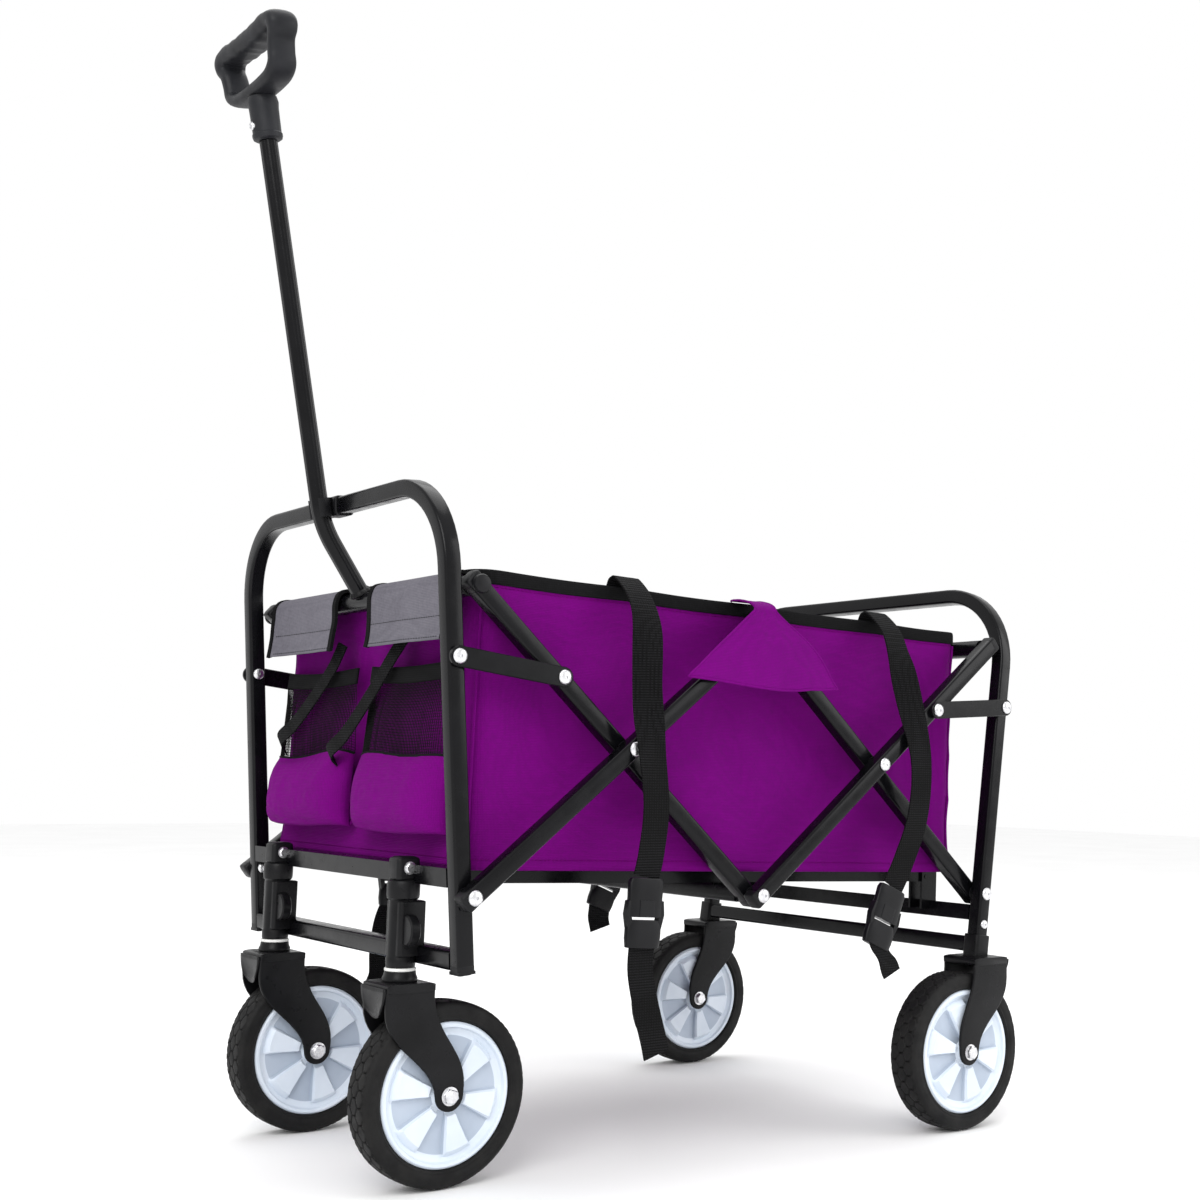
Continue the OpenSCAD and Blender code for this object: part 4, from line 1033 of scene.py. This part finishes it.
def bag_point(u, v, grow=0.0):
    x, y, nx, ny = loop_point(u, grow)
    flat = (1 - smooth((abs(x) - BAG_X + 0.09) / 0.07)) if abs(ny) > 0.7 else (1 - smooth((abs(y) - HALF_W + 0.08) / 0.06))
    belly = 0.010 * flat * math.sin(math.pi * min(1, v * 1.05)) ** 1.3
    fold = 0.0
    if v < 0.97:
        low = smooth(v / 0.12) * smooth((0.99 - v) / 0.2)
        fold += 0.0042 * (0.5 + 0.5 * noise.noise(Vector((x * 11, y * 11 + 5, v * 1.4)))) * low
        fold += 0.0030 * abs(noise.noise(Vector((x * 26 + v * 4, y * 26 - v * 3, v * 3 + 7)))) * low
        fold += 0.0022 * max(0, math.sin((x + y) * 60 + v * 7)) * low * flat * 0.6
    inward = -(belly + fold)
    x, y = x + nx * inward, y + ny * inward
    z = FLOOR_Z - 4 + (RIM_Z - FLOOR_Z + 4) * v
    p = F(x * 1000, y * 1000, z)
    p.z += rim_sag(x, y) * v
    return p


def squashed(o):
    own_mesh(o)
    return o


bag = grid("bag_shell", 360, 48, lambda u, v: bag_point(u, v), ["purple", "purple_dark"], closed_u=True)
# The inner side takes the darker purple, which is painted shade inside the bag
bag_solid = modifier(bag, "SOLIDIFY", thickness=0.0014, offset=-1, material_offset=1, use_rim_only=False)
place(bag, "front_liner", "purple_fabric", "front_panel", "rear_panel", "left_panel", "right_panel")
squashed(bag)

binding = sweep("bag_rim_binding", [bag_point(k / 360, 1.0) + Vector((0, 0, -0.0055)) for k in range(360)],
                [(a * 0.0072 / 0.01, b * 0.0023 / 0.01) for a, b in rounded_square(0.01, 0.006, 4)], Vector((0, 0, 1)),
                "binding", closed=True, smooth_angle=60)
place(binding, "front_liner", "webbing")
squashed(binding)


def stitches(name, path, normal, body, slot_name, mat="thread_purple", step=0.0048, length=0.0032, r=0.0004, squash=False):
    """A run of separate small stitches along a path."""
    marks = [0.0]
    for a, b in zip(path, path[1:]):
        marks.append(marks[-1] + (b - a).length)

    def along(d):
        k = min(max(bisect(marks, d) - 1, 0), len(path) - 2)
        return lerp(path[k], path[k + 1], (d - marks[k]) / max(1e-9, marks[k + 1] - marks[k]))

    verts, faces = [], []
    for n in range(int((marks[-1] - length) / step)):
        p, q = along(n * step), along(n * step + length)
        nrm = normal(p) if callable(normal) else normal
        s = (q - p).normalized().cross(nrm).normalized()
        k = len(verts)
        for share, w in ((0, 0.5), (0.25, 1), (0.75, 1), (1, 0.5)):
            c = lerp(p, q, share)
            verts += [c + s * r * w, c + nrm * r * w * 1.3, c - s * r * w]
        for i in range(k, k + 9, 3):
            faces += [(i + a, i + (a + 1) % 3, i + 3 + (a + 1) % 3, i + 3 + a) for a in range(3)]
        faces += [(k, k + 2, k + 1), (k + 9, k + 10, k + 11)]
    o = finish_mesh(name, verts, faces, mat, 60)
    place(o, body, slot_name)
    if squash:
        squashed(o)
    return o


def loop_normal(p):
    rel = p - ORIGIN
    return Vector((0, math.copysign(1, rel.y), 0)) if abs(rel.y) > HALF_W - 0.02 else Vector((math.copysign(1, rel.x), 0, 0))


for tag, v, grow in (("upper", 0.948, 0.0006), ("hem", 0.035, 0.0006)):
    path = [bag_point(k / 720, v, grow) for k in range(721)]
    stitches("bag_stitch_" + tag, path, loop_normal, "front_liner", "purple_fabric", squash=True)
for tag, u in (("front_left", 0.5 * cross_side + arc * 0.5), ("rear_left", 0.5 * cross_side + arc * 1.5 + long_side),
               ("rear_right", 1.5 * cross_side + arc * 2.5 + long_side), ("front_right", 1.5 * cross_side + arc * 3.5 + 2 * long_side)):
    path = [bag_point(u / PERIMETER, 0.02 + 0.93 * k / 60, 0.0012) for k in range(61)]
    x, y, nx, ny = loop_point(u / PERIMETER)
    seam = sweep("bag_seam_" + tag, path, circle(0.0017, 8), Vector((-ny, nx, 0)), "purple", smooth_angle=80)
    place(seam, "front_liner", "purple_fabric")
    squashed(seam)


def pad(name, body, x0, x1, half, z, thick, node):
    verts, faces = [], []
    nx, ny = 44, 56
    for side in (0, 1):
        for i in range(nx + 1):
            for j in range(ny + 1):
                u, v = i / nx, j / ny
                edge = min(u, 1 - u) * (x1 - x0), min(v, 1 - v) * 2 * half
                e = min(edge)
                round_in = math.sqrt(max(0.0, 1 - (1 - min(1, e / 4.0)) ** 2))
                quilt = 0.35 * abs(math.sin(math.pi * 3 * v)) ** 0.5 * abs(math.sin(math.pi * 2 * u)) ** 0.5
                hgt = thick / 2 * (0.25 + 0.75 * round_in) + (quilt * 1.6 if side else 0)
                verts.append(F(lerp(x0, x1, u), lerp(-half, half, v), z + (hgt if side else -hgt)))
    m = ny + 1
    top = (nx + 1) * m
    for i in range(nx):
        for j in range(ny):
            q = (i * m + j, (i + 1) * m + j, (i + 1) * m + j + 1, i * m + j + 1)
            faces.append(q)
            faces.append(tuple(top + k for k in q[::-1]))
    ring = [i * m for i in range(nx + 1)] + [nx * m + j for j in range(1, m)] + [i * m + ny for i in range(nx - 1, -1, -1)]
    ring += [j for j in range(ny - 1, 0, -1)]
    for a, b in zip(ring, ring[1:] + ring[:1]):
        faces.append((a, top + a, top + b, b))
    # The floor pad takes the darker purple, which is painted shade on the bag's floor
    o = finish_mesh(name, verts, faces, "purple_dark", 60)
    place(o, body, "purple_fabric", node)
    return o


pad("front_floor_pad", "front_floor_rails", -BAG_X * 1000 + 7, -1.5, 214, FLOOR_Z + 1.6, 4.5, "front_floor_panel")
pad("rear_floor_pad", "rear_floor_rails", 1.5, BAG_X * 1000 - 7, 214, FLOOR_Z + 1.6, 4.5, "rear_floor_panel")

# ---------- Front flaps, pockets and straps ----------

for word, s in SIDES.items():
    y0, y1 = s * 42, s * 205
    profile = catmull([Vector((-341, 0, 585.5)), Vector((-348, 0, 586.6)), Vector((-358, 0, 585.4)), Vector((-364.5, 0, 580)),
                       Vector((-367, 0, 571)), Vector((-366.6, 0, 560)), Vector((-366.0, 0, 545)), Vector((-366.6, 0, 530)), Vector((-368.0, 0, 519))], 6)

    def flap_point(u, v, grow=0.0, profile=profile, y0=y0, y1=y1, s=s):
        k = v * (len(profile) - 1)
        i = min(int(k), len(profile) - 2)
        p = profile[i].lerp(profile[i + 1], k - i)
        t = (profile[i + 1] - profile[i]).normalized()
        n = Vector((-t.z, 0, t.x))
        if n.x > 0 and v > 0.5:
            n = -n
        loose = smooth((v - 0.45) / 0.5)
        wav = 2.0 * math.sin(u * 6.2 + 1.3 * s) * loose + 1.1 * noise.noise(Vector((u * 4, v * 5, s * 3)))
        p = p + n * (grow / MM) + Vector((-max(0, wav) * 1.1, 0, 0))
        return F(p.x, lerp(y0, y1, u) + s * 1.0 * loose * math.sin(v * 9), p.z)

    flap = grid(f"front_flap_{word}", 56, 48, flap_point, "grey", thickness=0.0013, offset=0)
    nodes = ("front_flaps",) if s < 0 else ()
    place(flap, "front_liner", "grey_fabric", *nodes)
    for tag, u in (("inner", 0.0), ("outer", 1.0)):
        path = [flap_point(u, k / 60) for k in range(61)]
        band = sweep(f"front_flap_{word}_binding_{tag}", path, [(0.0038, 0.0018), (-0.0038, 0.0018), (-0.0038, -0.0018), (0.0038, -0.0018)],
                     EY, "binding", end_round=0.0005, smooth_angle=30)
        place(band, "front_liner", "webbing")
    path = [flap_point(0.03 + 0.94 * k / 80, 0.77, 0.0009) for k in range(81)]
    stitches(f"front_flap_{word}_stitch", path, Vector((-1, 0, 0)), "front_liner", "grey_fabric", "thread_grey")
    path = [flap_point(0.03 + 0.94 * k / 80, 0.965, 0.0009) for k in range(81)]
    stitches(f"front_flap_{word}_hem_stitch", path, Vector((-1, 0, 0)), "front_liner", "grey_fabric", "thread_grey")

    # purple pouch
    py0, py1 = s * 14, s * 200
    body_path = catmull([Vector((-342, 0, 341)), Vector((-356, 0, 335)), Vector((-369, 0, 338)), Vector((-375, 0, 352)),
                         Vector((-374, 0, 374)), Vector((-369, 0, 395)), Vector((-362, 0, 408))], 8)

    def pouch_point(u, v, path=body_path, y0=py0, y1=py1, s=s):
        k = v * (len(path) - 1)
        i = min(int(k), len(path) - 2)
        p = path[i].lerp(path[i + 1], k - i)
        side = (1 - abs(2 * u - 1) ** 5) ** 0.6
        depth = 0.16 + 0.84 * side
        x = -342 + (p.x + 342) * depth
        drop = 3.5 * math.sin(math.pi * u) if v < 0.3 else 0
        crease = 2.0 * abs(noise.noise(Vector((u * 5, v * 4, s * 7 + 2)))) + 1.0 * abs(noise.noise(Vector((u * 14, v * 9, s))))
        slump = (5.0 * math.sin(u * 5 + 1) * smooth((v - 0.75) / 0.25)) if s > 0 else 2.0 * math.sin(u * 7) * smooth((v - 0.75) / 0.25)
        low = 1 - smooth(v / 0.6)
        splay = (14 * low * u ** 3) if s > 0 else 0
        tuck = 9 * smooth((v - 0.7) / 0.3) * (0.6 + 0.4 * math.sin(u * 4)) if s > 0 else 0
        return F(x + crease * side + tuck * side, lerp(y0, y1, u) + splay * s, p.z - drop + slump - 3 * (1 - side) - 6 * low * side * (u if s > 0 else 0.4))

    pouch = grid(f"front_pouch_{word}", 60, 44, pouch_point, "purple", thickness=0.0013, offset=0)
    nodes = ("front_pockets",) if s < 0 else ()
    place(pouch, "front_liner", "purple_fabric", *nodes)

    # mesh above it
    def net_point(u, v, s=s):
        bottom = pouch_point(u, 1.0)
        top = F(-347.5 - 2.5 * math.sin(math.pi * u), lerp(py0 + s * 3, py1 - s * 4, u), 484 - 3.5 * math.sin(math.pi * u))
        p = bottom.lerp(top, v)
        p.x -= 0.004 * math.sin(math.pi * v) * math.sin(math.pi * u)
        return p

    net = grid(f"front_pocket_net_{word}", 62, 26, net_point, "net")
    modifier(net, "WIREFRAME", thickness=0.0009, use_even_offset=False, use_boundary=True)
    place(net, "front_liner", "webbing")

    def band_point(u, v, s=s):
        p = net_point(u, 1.0)
        return p + EZ * (0.017 * v) + Vector((0.0015 * v, 0, 0))

    band = grid(f"front_pocket_band_{word}", 40, 4, band_point, "binding", thickness=0.0024, offset=0)
    place(band, "front_liner", "webbing")
    trim = sweep(f"front_pouch_{word}_piping", [pouch_point(k / 60, 1.0) for k in range(61)], circle(0.0016, 8), Vector((0, 0, 1)), "binding")
    place(trim, "front_liner", "webbing")
    if s < 0:
        pts = [F(-350, -92, 528), F(-357, -78, 505), F(-364, -48, 466), F(-369, -8, 428), F(-371, 22, 410), F(-360, 30, 400)]
    else:
        pts = [F(-350, 52, 528), F(-357, 62, 500), F(-363, 92, 468), F(-367, 128, 440), F(-369, 158, 424), F(-358, 168, 412)]
    tie = ribbon(f"front_tie_{word}", pts, 0.018, 0.0016, lambda t, s=s: (EY * 0.75 + EZ * 0.65 * (1 if s < 0 else 1)).normalized())
    place(tie, "front_liner", "webbing")

# ---------- Side straps, buckles and the scissor covers ----------

def buckle(name, p, down, across, s, body="front_liner"):
    """Side-release buckle: socket half above, prong half below."""
    out = EY * s
    ring = [(a * 0.0205 / 0.01, b * 0.0055 / 0.01) for a, b in rounded_square(0.01, 0.006, 5)]
    top = sweep(name + "_socket", [p, p + down * 0.004, p + down * 0.018, p + down * 0.036],
                lambda i: scaled(ring, (0.92, 1.0, 0.97, 1.0)[i]), across, "buckle", end_round=0.001, smooth_angle=45)
    bar = sweep(name + "_ladder", [p + down * 0.041, p + down * 0.047, p + down * 0.058, p + down * 0.066],
                lambda i: scaled(ring, (0.86, 1.0, 1.0, 0.94)[i]), across, "buckle", end_round=0.001, smooth_angle=45)
    made = [top, bar]
    for k in (-1, 1):
        a = p + down * 0.022 + across * (k * 0.0186)
        b = p + down * 0.047 + across * (k * 0.0172)
        made.append(sweep(f"{name}_prong_{'a' if k < 0 else 'b'}", [a, lerp(a, b, 0.5) + across * (k * 0.0022), b],
                          [(0.0028, 0.0036), (-0.0028, 0.0036), (-0.0028, -0.0036), (0.0028, -0.0036)], across, "buckle",
                          end_round=0.001, smooth_angle=45))
    slit = p + down * 0.0285 + out * 0.0052
    made.append(sweep(name + "_window", [slit - down * 0.008, slit + down * 0.008],
                      [(a * 0.9, b * 0.08) for a, b in rounded_square(0.010, 0.003)], across, "plug"))
    for o in made:
        place(o, body, "black_plastic")
        squashed(o)


def level(cam_x, y, z):
    """A point by its level position along the wagon, height above the ground and offset from the middle line."""
    return Vector((ORIGIN.x + 0.0015 + cam_x * MM, y * MM, z * MM))


for word, s in SIDES.items():
    for tag, x, tail in (("front", -164, True), ("rear", 195, False)):
        flip = s < 0
        lean = 0 if flip else 8
        rim = 595 - 0.026 * x
        rim += 1.5
        pts = [level(x, s * 198, rim - 95), level(x, s * 206, rim - 40), level(x, s * 216, rim - 5), level(x, s * 223, rim + 2.5),
               level(x, s * 232, rim + 1.0), level(x - 1, s * 256, rim - 20), level(x - 2, s * 271, rim - 52)]
        if tail:
            pts += [level(x - 1, s * 273, 480), level(x + 6, s * 274, 425), level(x + 12 + lean, s * 275, 370), level(x + 8 + lean, s * 274, 325),
                    level(x + 3 + lean, s * 273, 300)]
        else:
            pts += [level(x + 11, s * 273, 495), level(x + 31, s * 274, 425), level(x + 24, s * 276, 360), level(x + 2, s * 275, 308),
                    level(x - 14, s * 274, 280)]

        def across(t, tail=tail, s=s):
            twist = (0.9 if tail else 0.5) * math.exp(-((t - 0.62) / 0.07) ** 2)
            return (EX * math.cos(twist) + EY * (s * math.sin(twist))).normalized()
        strap = ribbon(f"side_strap_{tag}_{word}", pts, 0.031, 0.0017, across)
        nodes = ("side_straps",) if s < 0 and tail else ()
        place(strap, "front_liner", "webbing", *nodes)
        squashed(strap)
        end = pts[-1]
        down = Vector((-0.06 if tail else -0.42, 0, -1)).normalized()
        side = Vector((-down.z, 0, down.x))
        buckle(f"side_buckle_{tag}_{word}", end + down * 0.002, down, side, s)
        low = end + down * 0.062
        if tail:
            pts = [low, low + Vector((-0.001, 0, -0.030)), low + Vector((0.006, s * 0.002, -0.066)),
                   low + Vector((0.016, s * 0.001, -0.096)), low + Vector((0.021, 0, -0.112))]
            if s > 0:
                pts = [p + Vector((-0.01 * i, 0, 0.002 * i)) for i, p in enumerate(pts)]
        else:
            pts = [low, low + Vector((0.002, s * 0.004, -0.010)), low + Vector((0.006, s * 0.010, -0.022)),
                   low + Vector((0.011, s * 0.013, -0.036))]
        hang = ribbon(f"side_tail_{tag}_{word}", pts, 0.030, 0.0017, side)
        place(hang, "front_liner", "webbing")
        squashed(hang)

    def cover_point(u, v, s=s):
        over = 0.24                         # share of the height that runs out over the bars' ends
        if v < over:
            k = v / over
            x0, x1 = lerp(-18, -24, k), lerp(12, 4, k)
            y, z = lerp(222, 271, smooth(k)), lerp(592, 579, k) + 5 * math.sin(math.pi * k)
            x = lerp(x0, x1, u)
        else:
            k = (v - over) / (1 - over)
            left = lerp(-24, -113, k)
            right = lerp(4, 96, k) + 12 * math.sin(math.pi * k) ** 1.5
            x = lerp(left, right, u)
            y = 271.5 + 5.0 * math.sin(math.pi * u) * smooth(k / 0.5) + 1.2 * noise.noise(Vector((u * 5, v * 4, s)))
            z = lerp(579, 503 - 4 * u, k) + 3 * math.sin(2 * math.pi * u) * k - 7.0 * math.sin(math.pi * min(1, u * 1.25)) * k
        return level(x, s * y, z)

    cover = grid(f"scissor_cover_{word}", 56, 40, cover_point, "purple", thickness=0.0013, offset=0)
    place(cover, "front_liner", "purple_fabric")
    squashed(cover)
    edge = [cover_point(0.0, k / 40) for k in range(41)] + [cover_point(k / 56, 1.0) for k in range(1, 57)] + [cover_point(1.0, 1 - k / 40) for k in range(1, 41)]
    hem = sweep(f"scissor_cover_{word}_piping", edge, circle(0.0014, 8), EY, "purple", smooth_angle=80)
    place(hem, "front_liner", "purple_fabric")
    squashed(hem)

# ---------- Floor bars and rails ----------

for end, name, foot, lane, body in ((-1, "front_floor_bar", FOOT, LANE_IN, "front_frame"), (1, "rear_floor_bar", REAR_FOOT, LANE_OUT, "rear_frame")):
    frame["nodes"][name].data.materials[0] = MAT["coat"]
for name in ("front_floor_rails", "rear_floor_rails", "rear_top_bar"):
    frame["nodes"][name].data.materials[0] = MAT["coat"]

# ---------- Floor, light and camera ----------

def stage_material():
    m, nt, b, v = tree("studio_paper", (0.9, 0.9, 0.9), 0.95, specular=0.1)
    nt.links.new(ramp(nt, noise_tex(nt, v, 3, 2), [(0.3, grey(0.93)), (0.7, grey(0.96))]), b.inputs["Base Color"])
    return m


me = bpy.data.meshes.new("studio_floor")
R = 9.0
me.from_pydata([(-R, -R, -0.0005), (R, -R, -0.0005), (R, R, -0.0005), (-R, R, -0.0005)], [], [(0, 1, 2, 3)])
me.materials.append(stage_material())
floor = bpy.data.objects.new("studio_floor", me)
bpy.context.collection.objects.link(floor)
floor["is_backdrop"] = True

world = bpy.data.worlds.new("studio")
bpy.context.scene.world = world
world.use_nodes = True
world.node_tree.nodes["Background"].inputs["Color"].default_value = (1, 1, 1, 1)
world.node_tree.nodes["Background"].inputs["Strength"].default_value = 1.0


def area_light(name, loc, target, size, power):
    data = bpy.data.lights.new(name, "AREA")
    data.shape = "RECTANGLE"
    data.size, data.size_y = size
    data.energy = power
    o = bpy.data.objects.new(name, data)
    o.location = loc
    o.rotation_euler = (Vector(target) - Vector(loc)).to_track_quat("-Z", "Y").to_euler()
    bpy.context.collection.objects.link(o)
    o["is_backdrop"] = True


area_light("key_soft", (-2.6, -2.2, 2.6), (0, 0, 0.4), (2.2, 2.2), 75)
area_light("fill_soft", (2.6, -2.6, 1.8), (0, 0, 0.4), (2.4, 2.4), 45)
area_light("top_soft", (0.2, 0.6, 3.2), (0, 0, 0.3), (2.6, 2.6), 40)

AZ, EL, ROLL = -0.673664, -0.119599, 0.0189426
fwd = Vector((-math.sin(AZ) * math.cos(EL), math.cos(AZ) * math.cos(EL), -math.sin(EL)))
right = fwd.cross(Vector((0, 0, 1))).normalized()
up = right.cross(fwd)
right, up = right * math.cos(ROLL) + up * math.sin(ROLL), up * math.cos(ROLL) - right * math.sin(ROLL)
cam_data = bpy.data.cameras.new("view")
cam_data.sensor_width = 36
cam_data.lens = 47.76
cam_data.shift_x, cam_data.shift_y = -0.1052, -0.0160
cam_data.clip_end = 50
cam = bpy.data.objects.new("view", cam_data)
bpy.context.collection.objects.link(cam)
cam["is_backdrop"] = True
m = Matrix((right, up, -fwd)).transposed().to_4x4()
m.translation = Vector((-1.0412 + (ORIGIN.x - 0.0652), -1.5778, 0.4054))
cam.matrix_world = m
bpy.context.scene.camera = cam
bpy.context.scene.view_settings.view_transform = "Standard"

{"cad": cad_box, "visual": [list(v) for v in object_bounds()]}
